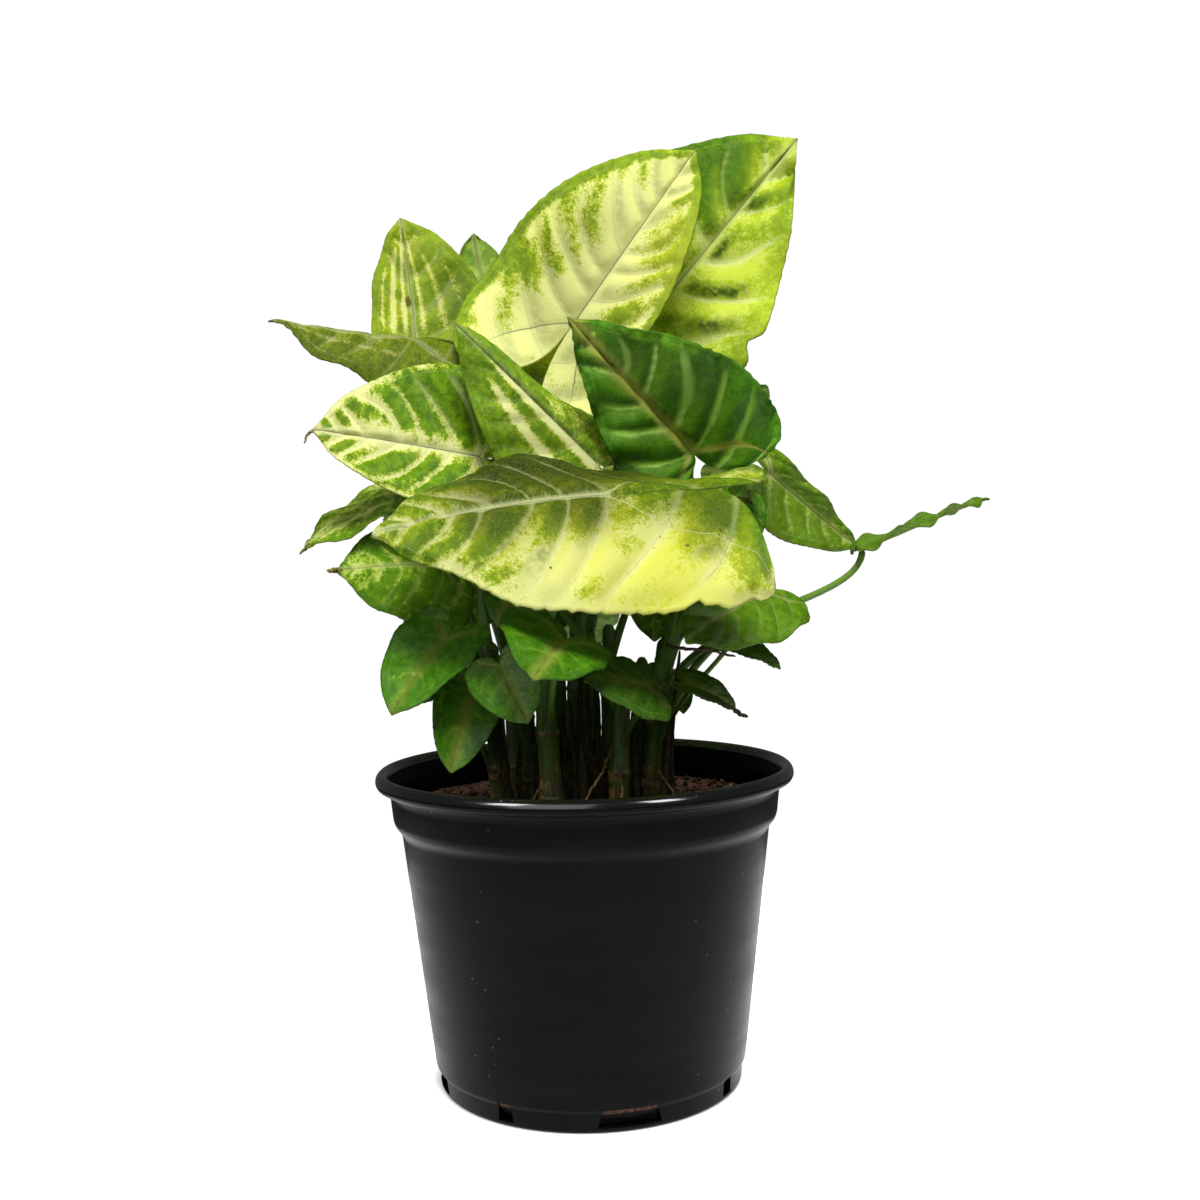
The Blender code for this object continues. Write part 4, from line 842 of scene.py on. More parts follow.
def turned_faces(rings, sides, downwards=False):
    """Faces of rings that a point closes at each end. The two points come after the rings."""
    faces = ring_faces(rings, sides)
    last, first_point, last_point = (rings - 1) * sides, rings * sides, rings * sides + 1
    for k in range(sides):
        n = (k + 1) % sides
        faces += [[first_point, n, k], [last_point, last + k, last + n]]
    return [[face[0], *face[:0:-1]] for face in faces] if downwards else faces


def tube(points, radii, sides):
    """A closed round tube along the points, as points and faces."""
    points = np.array(points, float)
    heading = np.gradient(points, axis=0)
    heading /= np.maximum(np.linalg.norm(heading, axis=1), 1e-9)[:, None]
    side = unit(np.cross(heading[0], [0.31, 0.9, 0.27]))
    body = []
    for point, along, radius in zip(points, heading, radii):
        side = unit(side - along * (side @ along))
        up = np.cross(along, side)
        turns = 2 * math.pi * np.arange(sides) / sides
        body.append(point + radius * (np.cos(turns)[:, None] * side + np.sin(turns)[:, None] * up))
    ring = np.arange(sides)
    ends = [ring[::-1].tolist(), ((len(points) - 1) * sides + ring).tolist()]
    return np.concatenate(body), ring_faces(len(points), sides) + ends


def joined(parts):
    """Several bodies of (points, faces) as one."""
    body, faces, start = [], [], 0
    for points, polygons in parts:
        body.append(np.asarray(points))
        faces += [[index + start for index in polygon] for polygon in polygons]
        start += len(points)
    return np.concatenate(body), faces


def curve_through(points, count):
    """A smooth curve with even steps through given points."""
    points = np.array(points, float)
    padded = np.concatenate([[2 * points[0] - points[1]], points, [2 * points[-1] - points[-2]]])
    line = []
    for a, b, c, d in zip(padded, padded[1:], padded[2:], padded[3:]):
        t = np.linspace(0, 1, CURVE_STEPS, endpoint=False)[:, None]
        square, cube = 2 * a - 5 * b + 4 * c - d, 3 * b - a - 3 * c + d
        line.append(0.5 * (2 * b + (c - a) * t + square * t ** 2 + cube * t ** 3))
    line = np.concatenate(line + [points[-1:]])
    length = np.concatenate([[0], np.cumsum(np.linalg.norm(np.diff(line, axis=0), axis=1))])
    stations = np.linspace(0, length[-1], count)
    return np.stack([np.interp(stations, length, line[:, k]) for k in range(3)], -1)


# Meshes


def add_mesh(name, body, faces, materials, slot_of_face=None, skins=None, smooth_shade=True):
    """A mesh object from points in millimetres, with vector attributes for its skin."""
    mesh = bpy.data.meshes.new(name)
    body = np.asarray(body, float) * MM
    if isinstance(faces, np.ndarray):
        mesh.vertices.add(len(body))
        mesh.vertices.foreach_set("co", body.astype(np.float32).ravel())
        mesh.loops.add(faces.size)
        mesh.loops.foreach_set("vertex_index", faces.astype(np.int32).ravel())
        mesh.polygons.add(len(faces))
        mesh.polygons.foreach_set("loop_start", np.arange(0, faces.size, 3, dtype=np.int32))
        mesh.update(calc_edges=True)
    else:
        mesh.from_pydata(body.tolist(), [], [tuple(int(i) for i in face) for face in faces])
    for material in materials:
        mesh.materials.append(material)
    if slot_of_face is not None:
        mesh.polygons.foreach_set("material_index", np.asarray(slot_of_face, np.int32))
    for key, values in (skins or {}).items():
        layer = mesh.attributes.new(key, "FLOAT_VECTOR", "POINT")
        layer.data.foreach_set("vector", np.asarray(values, np.float32).ravel())
    if smooth_shade:
        mesh.shade_smooth()
    mesh.validate()
    item = bpy.data.objects.new(name, mesh)
    bpy.context.scene.collection.objects.link(item)
    return item


def named_materials(*names):
    """The materials with these names."""
    return [bpy.data.materials[name] for name in names]


def dress(item, nodes=()):
    """Let the piece ride on the plant and stand for its nodes of the solid model."""
    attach(item, BODY)
    if nodes:
        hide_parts(*nodes)
    return item


def add_loose(name, parts, material):
    """Several bodies as one piece that has no node in the solid model."""
    item = add_mesh(name, *joined(parts), named_materials(material))
    return dress(item)


def cut(item, tools):
    """Take the tools out of the item with exact Booleans."""
    group = bpy.data.collections.new(item.name + "_tools")
    bpy.context.scene.collection.children.link(group)
    for tool in tools:
        bpy.context.scene.collection.objects.unlink(tool)
        group.objects.link(tool)
    step = item.modifiers.new("cut", "BOOLEAN")
    step.operation = "DIFFERENCE"
    step.operand_type = "COLLECTION"
    step.collection = group
    step.solver = "EXACT"
    bpy.context.view_layer.update()
    with bpy.context.temp_override(object=item, active_object=item, selected_objects=[item]):
        bpy.ops.object.modifier_apply(modifier=step.name)
    for tool in tools:
        bpy.data.objects.remove(tool, do_unlink=True)
    bpy.data.collections.remove(group)


def lathe(profile, segments, wave=None):
    """A closed solid turned round Z. The profile runs from the lower axis point outwards to the upper one."""
    rings = np.array(profile[1:-1], float)
    turns = 2 * math.pi * (np.arange(segments) + 0.5) / segments
    r, a = np.meshgrid(rings[:, 0], turns, indexing="ij")
    z = np.broadcast_to(rings[:, 1:2], r.shape)
    if wave:
        z = z + wave(r, a, z)
    body = np.stack([r * np.cos(a), r * np.sin(a), z], -1).reshape(-1, 3)
    body = np.concatenate([body, [(0, 0, profile[0][1]), (0, 0, profile[-1][1])]])
    return body, turned_faces(len(rings), segments)


def rounded(points, radius, steps=5):
    """The profile with each inner corner rounded off."""
    points = np.array(points, float)
    line = [points[0]]
    for before, corner, after in zip(points, points[1:], points[2:]):
        one, two = before - corner, after - corner
        reach = min(radius, 0.45 * np.linalg.norm(one), 0.45 * np.linalg.norm(two))
        start, end = corner + unit(one) * reach, corner + unit(two) * reach
        for t in np.linspace(0, 1, steps):
            line.append((1 - t) ** 2 * start + 2 * t * (1 - t) * corner + t * t * end)
    line.append(points[-1])
    return [tuple(p) for p in line]


# Shader nodes


class Graph:
    """Shorthand for the nodes of a material or world. Its calls take numbers, colours and sockets alike."""

    def __init__(self, owner):
        owner.use_nodes = True
        self.tree = owner.node_tree
        self.tree.nodes.clear()
        self.count = 0

    def add(self, kind, inputs=None, **settings):
        """A node with its settings, and values or links for its inputs by name or number."""
        node = self.tree.nodes.new(kind)
        node.location = (220 * (self.count // 6), -180 * (self.count % 6))
        self.count += 1
        for key, value in settings.items():
            setattr(node, key, value)
        for key, value in (inputs or {}).items():
            self.put(node.inputs[key], value)
        return node

    def put(self, socket, value):
        """Link a socket, or set it to a number, a vector or a colour of six hexadecimal digits."""
        if isinstance(value, bpy.types.NodeSocket):
            self.tree.links.new(value, socket)
            return
        if isinstance(value, str):
            value = linear(value)
        if socket.type == "RGBA" and len(value) == 3:
            value = (*value, 1)
        socket.default_value = value

    def place(self):
        """The place on the object in metres."""
        return self.add("ShaderNodeTexCoord").outputs["Object"]

    def field(self, name):
        """A vector attribute of the mesh and its three numbers."""
        node = self.add("ShaderNodeAttribute", attribute_type="GEOMETRY", attribute_name=name)
        split = self.add("ShaderNodeSeparateXYZ", {0: node.outputs["Vector"]})
        return (node.outputs["Vector"], *split.outputs)

    def math(self, operation, a, b=0.0, c=0.0, clamp=False):
        return self.add("ShaderNodeMath", {0: a, 1: b, 2: c}, operation=operation, use_clamp=clamp).outputs[0]

    def scaled(self, vector, factors):
        return self.add("ShaderNodeVectorMath", {0: vector, 1: factors}, operation="MULTIPLY").outputs[0]

    def noise(self, vector, scale, detail=2.0, rough=0.5, bend=0.0):
        inputs = dict(Vector=vector, Scale=scale, Detail=detail, Roughness=rough, Distortion=bend)
        return self.add("ShaderNodeTexNoise", inputs).outputs["Fac"]

    def cells(self, vector, scale, feature="DISTANCE_TO_EDGE"):
        inputs = dict(Vector=vector, Scale=scale)
        return self.add("ShaderNodeTexVoronoi", inputs, feature=feature).outputs["Distance"]

    def step(self, value, low, high, to_low=0.0, to_high=1.0):
        """A soft step of the value between two limits."""
        inputs = {0: value, 1: low, 2: high, 3: to_low, 4: to_high}
        return self.add("ShaderNodeMapRange", inputs, interpolation_type="SMOOTHSTEP", clamp=True).outputs[0]

    def mix(self, share, a, b, blend="MIX"):
        settings = dict(data_type="RGBA", blend_type=blend, clamp_factor=True)
        return self.add("ShaderNodeMix", {0: share, 6: a, 7: b}, **settings).outputs[2]

    def bump(self, height, strength, distance):
        inputs = dict(Strength=strength, Distance=distance, Height=height)
        return self.add("ShaderNodeBump", inputs).outputs["Normal"]

    def skin(self, colour, roughness, normal=None, glow=None, share=0.0, gloss=0.5, more=None):
        """The surface shader, with light let through where a glow colour is given, and more of its inputs."""
        inputs = {"Base Color": colour, "Roughness": roughness, "Specular IOR Level": gloss, "IOR": 1.5}
        inputs.update(more or {})
        if normal is not None:
            inputs["Normal"] = normal
        last = self.add("ShaderNodeBsdfPrincipled", inputs).outputs[0]
        if glow is not None:
            through = self.add("ShaderNodeBsdfTranslucent", dict(Color=glow)).outputs[0]
            last = self.add("ShaderNodeMixShader", {0: share, 1: last, 2: through}).outputs[0]
        self.add("ShaderNodeOutputMaterial", dict(Surface=last))


def blade_material(name, colours, through, under):
    """Variegated leaf skin. The mesh gives its paleness, vein lines and tones; noise breaks them up."""
    g = Graph(bpy.data.materials.new(name))
    veins, _, _, spacing = g.field("veins")
    flat, _, _, _ = g.field("flat")
    _, pale, strength, soft = g.field("fields")
    _, rib, branch, edge = g.field("lines")
    _, olive, dark, yellow = g.field("tone")
    _, halo, blotch, scar = g.field("marks")
    streaks = g.noise(g.scaled(veins, (0.75, 0.17, 0.9)), 1.0, 3.0, 0.6, 0.4)
    patches = g.noise(g.scaled(veins, (0.22, 0.075, 0.9)), 1.0, 2.0, 0.5, 0.3)
    mottle = g.noise(flat, 0.34, 3.0, 0.65, 0.3)
    fine = g.noise(flat, 1.1, 4.0, 0.75)
    to_vein = g.math("PINGPONG", branch, 0.5)
    vein_mm = g.math("MULTIPLY", to_vein, spacing)
    rib_mm = g.math("ABSOLUTE", rib)

    # Ground: how pale the skin is, then its green, cream, olive, yellow and dark parts. Paleness and yellow
    # include painted light on the swellings' upper slopes, and painted shade darkens their lower slopes.
    band = g.step(to_vein, 0.0, 0.3, 1.0, 0.0)
    c = g.math("MULTIPLY_ADD", strength, g.math("SUBTRACT", band, 0.35), pale)
    noises = dict(patches=patches, streaks=streaks, mottle=mottle, fine=fine)
    for key, share in PALE_NOISE.items():
        c = g.math("MULTIPLY_ADD", g.math("SUBTRACT", noises[key], 0.5), share, c)
    mask = g.step(c, g.math("MULTIPLY", soft, -1.0), soft)
    green = g.mix(g.step(mottle, 0.3, 0.7), colours["deep"], colours["mid"])
    light = g.mix(g.step(c, 0.15, 1.2), colours["lime"], colours["cream"])
    colour = g.mix(mask, green, light)
    colour = g.mix(g.math("MULTIPLY", olive, 0.85, clamp=True), colour, colours["olive"])
    # The yellow tone holds a yellow tint and the painted light on the upper slopes of the swellings.
    colour = g.mix(g.math("MULTIPLY", yellow, 0.8, clamp=True), colour, colours["yellow"])
    # Painted shade on the lower slope of each swelling, in the shading colour, broken up by the mottle.
    painted_shade_share = g.math("MULTIPLY", blotch, g.step(mottle, 0.3, 0.6, 0.2, 1.0), clamp=True)
    colour = g.mix(painted_shade_share, colour, colours["blotch"])
    shade = g.step(dark, 0.0, 1.0, 1.0, 0.32)
    grey = g.add("ShaderNodeCombineColor")
    for socket in grey.inputs[:3]:
        g.put(socket, shade)
    colour = g.mix(1.0, colour, grey.outputs[0], "MULTIPLY")

    # Lines: fine net, halos, side veins, collective vein, midrib and border, then flecks and scars
    net = g.step(g.cells(flat, 0.62), 0.0, 0.09, 1.0, 0.0)
    colour = g.mix(g.math("MULTIPLY", net, 0.1), colour, colours["halo"])
    reach = g.math("MULTIPLY", g.step(patches, 0.3, 0.7, 1.0, 2.4), g.step(halo, 0.2, 1.0, 0.8, 1.4))
    # Halos turn nearly white where the yellow tone is high; that tone holds a yellow tint and the painted
    # light on the upper slopes of the swellings.
    pale_halo = g.mix(yellow, colours["halo"], "fbfbdc")
    side_halo = g.math("MULTIPLY", g.step(vein_mm, 0.1, reach, 0.75, 0.0), g.step(edge, 0.8, 8.0))
    colour = g.mix(g.math("MULTIPLY", side_halo, halo), colour, pale_halo)
    rib_reach = g.step(streaks, 0.3, 0.7, 0.8 * colours["band"], 1.2 * colours["band"])
    rib_share = g.step(rib_mm, 0.3, rib_reach, 0.9, 0.0)
    colour = g.mix(g.math("MULTIPLY", rib_share, g.step(halo, 0.0, 0.5)), colour, colours["rib_halo"])
    side_line = g.math("MULTIPLY", g.step(vein_mm, 0.05, 0.24, 1.0, 0.0), g.step(edge, 2.0, 12.0, 0.0, 0.2))
    colour = g.mix(side_line, colour, colours["rib"])
    collective = g.step(g.math("ABSOLUTE", g.math("SUBTRACT", edge, 2.6)), 0.04, 0.3, 0.3, 0.0)
    colour = g.mix(g.math("MULTIPLY", collective, g.step(streaks, 0.4, 0.6)), colour, colours["halo"])
    middle = g.step(rib_mm, 0.1, 0.75 if under else 0.42, 0.85, 0.0)
    colour = g.mix(middle, colour, colours["rib"])
    border = g.step(edge, 0.05, 0.4, 0.55, 0.0)
    colour = g.mix(border, colour, colours["border"])
    flecks = g.step(g.cells(flat, 0.16, "F1"), 0.035, 0.07, 1.0, 0.0)
    rare = g.math("MULTIPLY", flecks, g.step(patches, 0.55, 0.62))
    colour = g.mix(g.math("MULTIPLY", rare, 0.7), colour, "6b4a1e")
    ragged = g.step(g.math("MULTIPLY_ADD", g.math("SUBTRACT", fine, 0.5), 1.2, scar), 0.45, 0.8)
    colour = g.mix(g.math("MULTIPLY", ragged, 0.85), colour, "6d5524")
    if under:
        colour = g.mix(0.35, colour, colours["under"])

    # Light let through, relief and gloss
    veil = g.mix(1.0, colour, colours["glow"], "MULTIPLY")
    height = g.math("MULTIPLY_ADD", net, -0.5, g.math("MULTIPLY", fine, 0.8))
    normal = g.bump(height, 0.35, 0.0004)
    roughness = g.step(streaks, 0.2, 0.8, 0.5 if under else 0.34, 0.62 if under else 0.46)
    g.skin(colour, roughness, normal, veil, through, 0.2 if under else 0.3)


def stem_material():
    """Streaked green stalk skin, paler towards the blades, brown and scarred towards the soil."""
    g = Graph(bpy.data.materials.new("stem_green"))
    round_about, _, _, age = g.field("tube")
    streaks = g.noise(g.scaled(round_about, (1.6, 0.05, 1.0)), 1.0, 3.0, 0.6)
    mottle = g.noise(g.scaled(round_about, (0.9, 0.25, 1.0)), 1.0, 2.0, 0.5)
    patches = g.noise(g.scaled(round_about, (0.3, 0.12, 1.0)), 1.0, 3.0, 0.6)
    colour = g.mix(g.step(streaks, 0.3, 0.7), "2a4a12", "587a26")
    colour = g.mix(g.step(age, 0.25, 0.9, 0.0, 0.5), colour, "6c8c34")
    old = g.step(age, -0.6, -0.1, 0.9, 0.0)
    brown = g.math("MULTIPLY", old, g.step(mottle, 0.25, 0.65, 0.45, 1.0))
    colour = g.mix(brown, colour, g.mix(g.step(streaks, 0.35, 0.65), "3d3216", "6b5a2c"))
    bare = g.math("MULTIPLY", g.step(patches, 0.56, 0.62), g.step(age, -0.5, 0.0, 0.85, 0.0))
    colour = g.mix(bare, colour, "a5814e")
    specks = g.step(mottle, 0.68, 0.76, 0.0, 0.5)
    colour = g.mix(specks, colour, "2e2812")
    normal = g.bump(streaks, 0.5, 0.0005)
    g.skin(colour, g.step(mottle, 0.3, 0.7, 0.38, 0.55), normal, gloss=0.35)


def dry_material(name, dark, light):
    """Withered, papery plant matter."""
    g = Graph(bpy.data.materials.new(name))
    place = g.place()
    fibres = g.noise(g.scaled(place, (1.0, 1.0, 0.3)), 900.0, 3.0, 0.6)
    colour = g.mix(g.step(fibres, 0.3, 0.7), dark, light)
    g.skin(colour, 0.8, g.bump(fibres, 0.6, 0.0005), gloss=0.2)


def pot_material(name, rough, ior, coat):
    """Black moulded plastic with faint smears, a fine grain and a little dust."""
    g = Graph(bpy.data.materials.new(name))
    place = g.place()
    grain = g.noise(place, 900.0, 3.0, 0.6)
    smear = g.noise(g.scaled(place, (1.0, 1.0, 6.0)), 22.0, 3.0, 0.55)
    dust = g.step(g.cells(place, 210.0, "F1"), 0.05, 0.11, 1.0, 0.0)
    sparse = g.math("MULTIPLY", dust, g.step(g.noise(place, 35.0, 1.0), 0.58, 0.66))
    colour = g.mix(g.step(smear, 0.3, 0.8), "060607", "0c0c0e")
    colour = g.mix(g.math("MULTIPLY", sparse, 0.3), colour, "8a8578")
    roughness = g.step(smear, 0.25, 0.8, rough, rough + 0.1)
    more = {"IOR": ior, "Coat Weight": coat, "Coat Roughness": 0.14, "Coat IOR": 1.6}
    g.skin(colour, roughness, g.bump(grain, 0.12, 0.0002), more=more)


def soil_material(name, dark, light, rough):
    """Crumbly soil, bark or grit in two colours."""
    g = Graph(bpy.data.materials.new(name))
    place = g.place()
    grains = g.noise(place, 700.0, 4.0, 0.7)
    lumps = g.noise(place, 160.0, 3.0, 0.6)
    colour = g.mix(g.step(grains, 0.3, 0.72), dark, light)
    colour = g.mix(g.step(lumps, 0.55, 0.75, 0.0, 0.6), colour, dark)
    g.skin(colour, rough, g.bump(grains, 1.0, 0.001), gloss=0.2)


def plain_material(name, colour, roughness, gleam):
    """A matt surface in one faintly uneven colour, with a share of its own light."""
    g = Graph(bpy.data.materials.new(name))
    place = g.place()
    faint = g.noise(place, 3.0, 2.0)
    tint = g.mix(faint, colour, tuple(c * 0.985 for c in colour))
    g.skin(tint, roughness, gloss=0.2, more={"Emission Color": WHITE, "Emission Strength": gleam})


# Leaves


def make_blade(name, blade):
    """A blade with its upper skin on the first faces and its under skin on the rest."""
    family = family_of(name)
    body, faces, skins, upper = fine_blade(blade, LOOKS[name])
    slots = np.ones(len(faces), np.int32)
    slots[:upper] = 0
    materials = named_materials("blade_" + family, "blade_" + family + "_under")
    item = add_mesh("leaf_" + name, body, faces, materials, slots, skins)
    return dress(item, [name])


# Stems


def cane_point(values, z):
    """A point on the cane's axis. The cane stands upright in the soil and leans above it."""
    t = min(max((z - SOIL_TOP) / (values["top"] - SOIL_TOP), 0), 1) ** 1.5
    return np.array([values["at"][0] + values["lean"][0] * t, values["at"][1] + values["lean"][1] * t, z])


def tube_field(length, sides, count, girth, age):
    """Skin coordinates of a tube: millimetres round it and along it, and its age."""
    turns = 2 * math.pi * np.arange(sides) / sides
    x = np.tile(np.cos(turns) * girth, count)
    y = np.repeat(np.linspace(0, length, count), sides)
    return np.stack([x + 0.7 * np.tile(np.sin(turns) * girth, count), y, np.repeat(age, sides)], -1)


def own_share(values, seed):
    """A share from 0 to 1 that differs from cane to cane."""
    return float(np.random.default_rng([seed, *(int(10 * c + 1000) for c in values["at"])]).uniform())


def cane(values):
    """The cane with scars and swollen nodes, brown towards the soil, narrowing above its last stalk."""
    top = values["top"]
    heights = np.arange(CANE_FOOT, top + CANE_END + 0.1, CANE_STEP)
    points = [cane_point(values, min(z, top)) + [0, 0, max(0, z - top)] for z in heights]
    shift, aged = own_share(values, 1), own_share(values, 2)
    spacing = NODE_SPACING * (0.8 + 0.5 * shift)
    nodes = np.arange(SOIL_TOP + NODE_FIRST + spacing * (0.4 + shift), top, 3 * spacing)
    nearest = np.min(np.abs(heights[:, None] - nodes[None]), axis=1) if len(nodes) else heights * 0 + 99
    slender = 1 - CANE_TAPER * np.clip(heights - SOIL_TOP, 0, None) / (top - SOIL_TOP)
    swelling = NODE_SLIM + (NODE_SWELL - NODE_SLIM) * bell(nearest / 4.5)
    scar = 0.22 * bell(nearest / 0.6) - 0.12 * bell((nearest - 1.5) / 0.7)
    rings = np.arange(SOIL_TOP + NODE_FIRST * 2 * shift, top, spacing)
    ring = np.min(np.abs(heights[:, None] - rings[None]), axis=1)
    fine_ring = 0.08 * bell(ring / 0.5)
    radii = values["radius"] * slender * swelling + scar + fine_ring
    above = np.clip((heights - top) / CANE_END, 0, 1)
    radii = radii * (1 - 0.75 * above ** 2)
    body, faces = tube(points, radii, CANE_SIDES)
    young = smooth((heights - SOIL_TOP) / (12 + 36 * aged))
    age = -0.9 * (1 - young) - 0.5 * bell(nearest / 1.2) + 0.1
    return body, faces, tube_field(top - CANE_FOOT, CANE_SIDES, len(points), values["radius"], age)


def stalk_path(values, spec):
    """The line of a leaf stalk from inside the cane to inside its blade, and its radii."""
    name = spec["blade"]
    point, normal, forward = junction_frame(LEAVES[name], LOOKS[name])
    start = cane_point(values, spec["leaves_at"] - STALK_ROOT)
    arrive = unit(normal + 0.45 * forward)
    square = arrive @ normal
    end = point - arrive * STALK_SEAT / square
    reach = np.linalg.norm(end - start)
    level = np.array([end[0] - start[0], end[1] - start[1], 0])
    leave = unit(unit(level + 1e-6) * 0.35 + np.array([0, 0, 1.0]))
    a, b = start + leave * reach * 0.42, end - arrive * reach * 0.22
    t = np.concatenate([np.linspace(0, 0.97, STALK_STEPS), [0.985, 1.0]])[:, None]
    path = (1 - t) ** 3 * start + 3 * (1 - t) ** 2 * t * a + 3 * (1 - t) * t ** 2 * b + t ** 3 * end
    path = path + np.sin(np.pi * t) ** 2 * np.array(spec["bend"], float)
    way = t[:, 0]
    gone, left = way * reach, (1 - way) * reach
    radii = spec["foot"] + (spec["end"] - spec["foot"]) * way ** 0.7
    radii = radii * (1 + 0.28 * bell(gone / 9) + 0.14 * bell((left - 3.5) / 3))
    radii = radii * np.where(left < 1.6, 0.35 + 0.65 * np.sqrt(np.clip(left / 1.6, 0, 1)), 1)
    return path, radii, reach, way


def stalk(values, spec):
    """A leaf stalk and its skin coordinates."""
    path, radii, reach, way = stalk_path(values, spec)
    body, faces = tube(path, radii, STALK_SIDES)
    return body, faces, tube_field(reach, STALK_SIDES, len(path), spec["foot"], 0.1 + 0.8 * way)


def make_stem(name, values):
    """A cane and its leaf stalks as one piece."""
    parts = [cane(values)] + [stalk(values, spec) for spec in values["petioles"]]
    body, faces = joined([part[:2] for part in parts])
    skins = dict(tube=np.concatenate([part[2] for part in parts]))
    item = add_mesh("stalks_" + name, body, faces, named_materials("stem_green"), None, skins)
    return dress(item, [name])


# Pot and soil


def inner_wall(z):
    """Radius and height of a point on the pot's inner wall below the collar."""
    slope = (WALL_TOP_R - WALL_LOW_R) / (WALL_TOP_Z - WALL_LOW_Z)
    return WALL_LOW_R + slope * (z - WALL_LOW_Z) - WALL, z


def pot_profile():
    """Section of the pot: underside, foot ring, wall, collar, rolled rim, then down the inside."""
    outside = [
        (0, 0), (FOOT_R - 1.2, 0), (FOOT_R, 1.0), (FOOT_R + 0.5, FOOT_Z),
        (WALL_LOW_R - 0.3, FOOT_Z + 0.9), (WALL_LOW_R, WALL_LOW_Z), (WALL_TOP_R, WALL_TOP_Z),
        (COLLAR_LOW_R - 0.7, COLLAR_LOW_Z - 1.8), (COLLAR_LOW_R, COLLAR_LOW_Z), (COLLAR_TOP_R, COLLAR_TOP_Z),
    ]
    rim = [
        (RIM_R - 4.5, RIM_LOW_Z - 0.7), (RIM_R - 1.0, RIM_LOW_Z), (RIM_R, RIM_LOW_Z + 1.9),
        (RIM_R - 0.5, POT_HEIGHT - 1.3), (RIM_R - 2.0, POT_HEIGHT), (RIM_R - 3.4, POT_HEIGHT - 0.3),
        (RIM_R - 4.6, POT_HEIGHT - 1.9),
    ]
    inside = [
        (COLLAR_TOP_R - WALL, COLLAR_TOP_Z), (COLLAR_LOW_R - WALL + 0.2, COLLAR_LOW_Z + 0.4),
        inner_wall(WALL_TOP_Z + 0.4), inner_wall(FLOOR + 3.0), (FOOT_R - FLOOR, FLOOR), (0, FLOOR),
    ]
    return outside + rim + inside


def slot_cutter(number):
    """A wedge that cuts one drain slot, narrower at its top."""
    half = (SLOT_WIDE if number % 2 == 0 else SLOT_NARROW) / 2
    turn = math.radians(SLOT_FIRST_DEG + number * 360 / SLOTS)
    body = []
    for z, h in ((SLOT_LOW_Z, half), (SLOT_HIGH_Z, half * SLOT_TOP_SHARE)):
        for x, y in ((SLOT_INNER_R, -h), (SLOT_OUTER_R, -h), (SLOT_OUTER_R, h), (SLOT_INNER_R, h)):
            across = x * math.cos(turn) - y * math.sin(turn)
            along = x * math.sin(turn) + y * math.cos(turn)
            body.append((across, along, z))
    faces = [(3, 2, 1, 0), (4, 5, 6, 7), (0, 1, 5, 4), (1, 2, 6, 5), (2, 3, 7, 6), (3, 0, 4, 7)]
    return add_mesh("slot_cutter_" + str(number), body, faces, [], smooth_shade=False)


def make_pot():
    """The pot with its drain slots, and a glossier rim."""
    profile = rounded(pot_profile(), POT_ROUNDING)
    item = add_mesh("pot_body", *lathe(profile, POT_SEGMENTS), named_materials("pot_wall", "pot_rim"))
    cut(item, [slot_cutter(k) for k in range(SLOTS)])
    for face in item.data.polygons:
        face.material_index = int(face.center.z > (RIM_LOW_Z + RIM_SHINE_FROM) * MM)
    item.data.shade_smooth()
    item.data.set_sharp_from_angle(angle=math.radians(POT_SHARP_DEG))
    return dress(item, ["pot"])


def soil_level(r, a):
    """Uneven top of the soil in millimetres above its mean level."""
    x, y = r * np.cos(a), r * np.sin(a)
    level = np.sin(0.19 * x + 1.3) * np.cos(0.17 * y - 0.6) + 0.5 * np.sin(0.43 * y + 0.31 * x)
    return SOIL_BUMP * level


def soil_wave(r, a, z):
    """Granular relief of the soil's top. The sides stay plain."""
    x, y = r * np.cos(a) + 200, r * np.sin(a) + 200
    grains = 0.55 * lattice_noise(x, y, 3.1, 5) + 0.4 * lattice_noise(x, y, 1.6, 6)
    inside = smooth((SOIL_EDGE_R - r) / 3)
    return np.where(z > SOIL_TOP - 0.5, (soil_level(r, a) + grains) * inside, 0)


def soil_profile():
    """Section of the soil: it follows the pot's inside with a small gap up to its uneven top."""
    low_r, low_z = inner_wall(FLOOR + 3.6)
    high_r, high_z = inner_wall(WALL_TOP_Z + 0.4)
    collar_r = COLLAR_LOW_R - WALL
    side = [
        (0, FLOOR + SOIL_GAP), (FOOT_R - FLOOR - SOIL_GAP, FLOOR + SOIL_GAP), (low_r - SOIL_GAP, low_z),
        (high_r - SOIL_GAP, high_z + SOIL_GAP), (collar_r - 0.3, COLLAR_LOW_Z + 0.8),
        (collar_r - 0.2, SOIL_TOP - 0.7),
    ]
    rings = np.linspace(SOIL_EDGE_R, 1.0, SOIL_RINGS)
    return side + [(r, SOIL_TOP) for r in rings] + [(0, SOIL_TOP + 0.4)]


def crumb(rng, centre, size, stretch):
    """A closed lump: a sphere of a few rings pressed out of shape."""
    polar = np.linspace(0, math.pi, CRUMB_RINGS + 2)[1:-1]
    turn = 2 * math.pi * np.arange(CRUMB_SIDES) / CRUMB_SIDES
    p, a = np.meshgrid(polar, turn, indexing="ij")
    points = np.stack([np.sin(p) * np.cos(a), np.sin(p) * np.sin(a), np.cos(p)], -1).reshape(-1, 3)
    points = np.concatenate([points, [(0, 0, 1), (0, 0, -1)]])
    lumpy = 1 + rng.uniform(-CRUMB_LUMPS, CRUMB_LUMPS, (len(points), 1))
    points = points * lumpy * np.array(stretch) * size
    turned = np.array(Matrix.Rotation(rng.uniform(0, 6.28), 3, Vector(rng.uniform(-1, 1, 3)).normalized()))
    return points @ turned.T + np.array(centre), turned_faces(CRUMB_RINGS, CRUMB_SIDES, downwards=True)


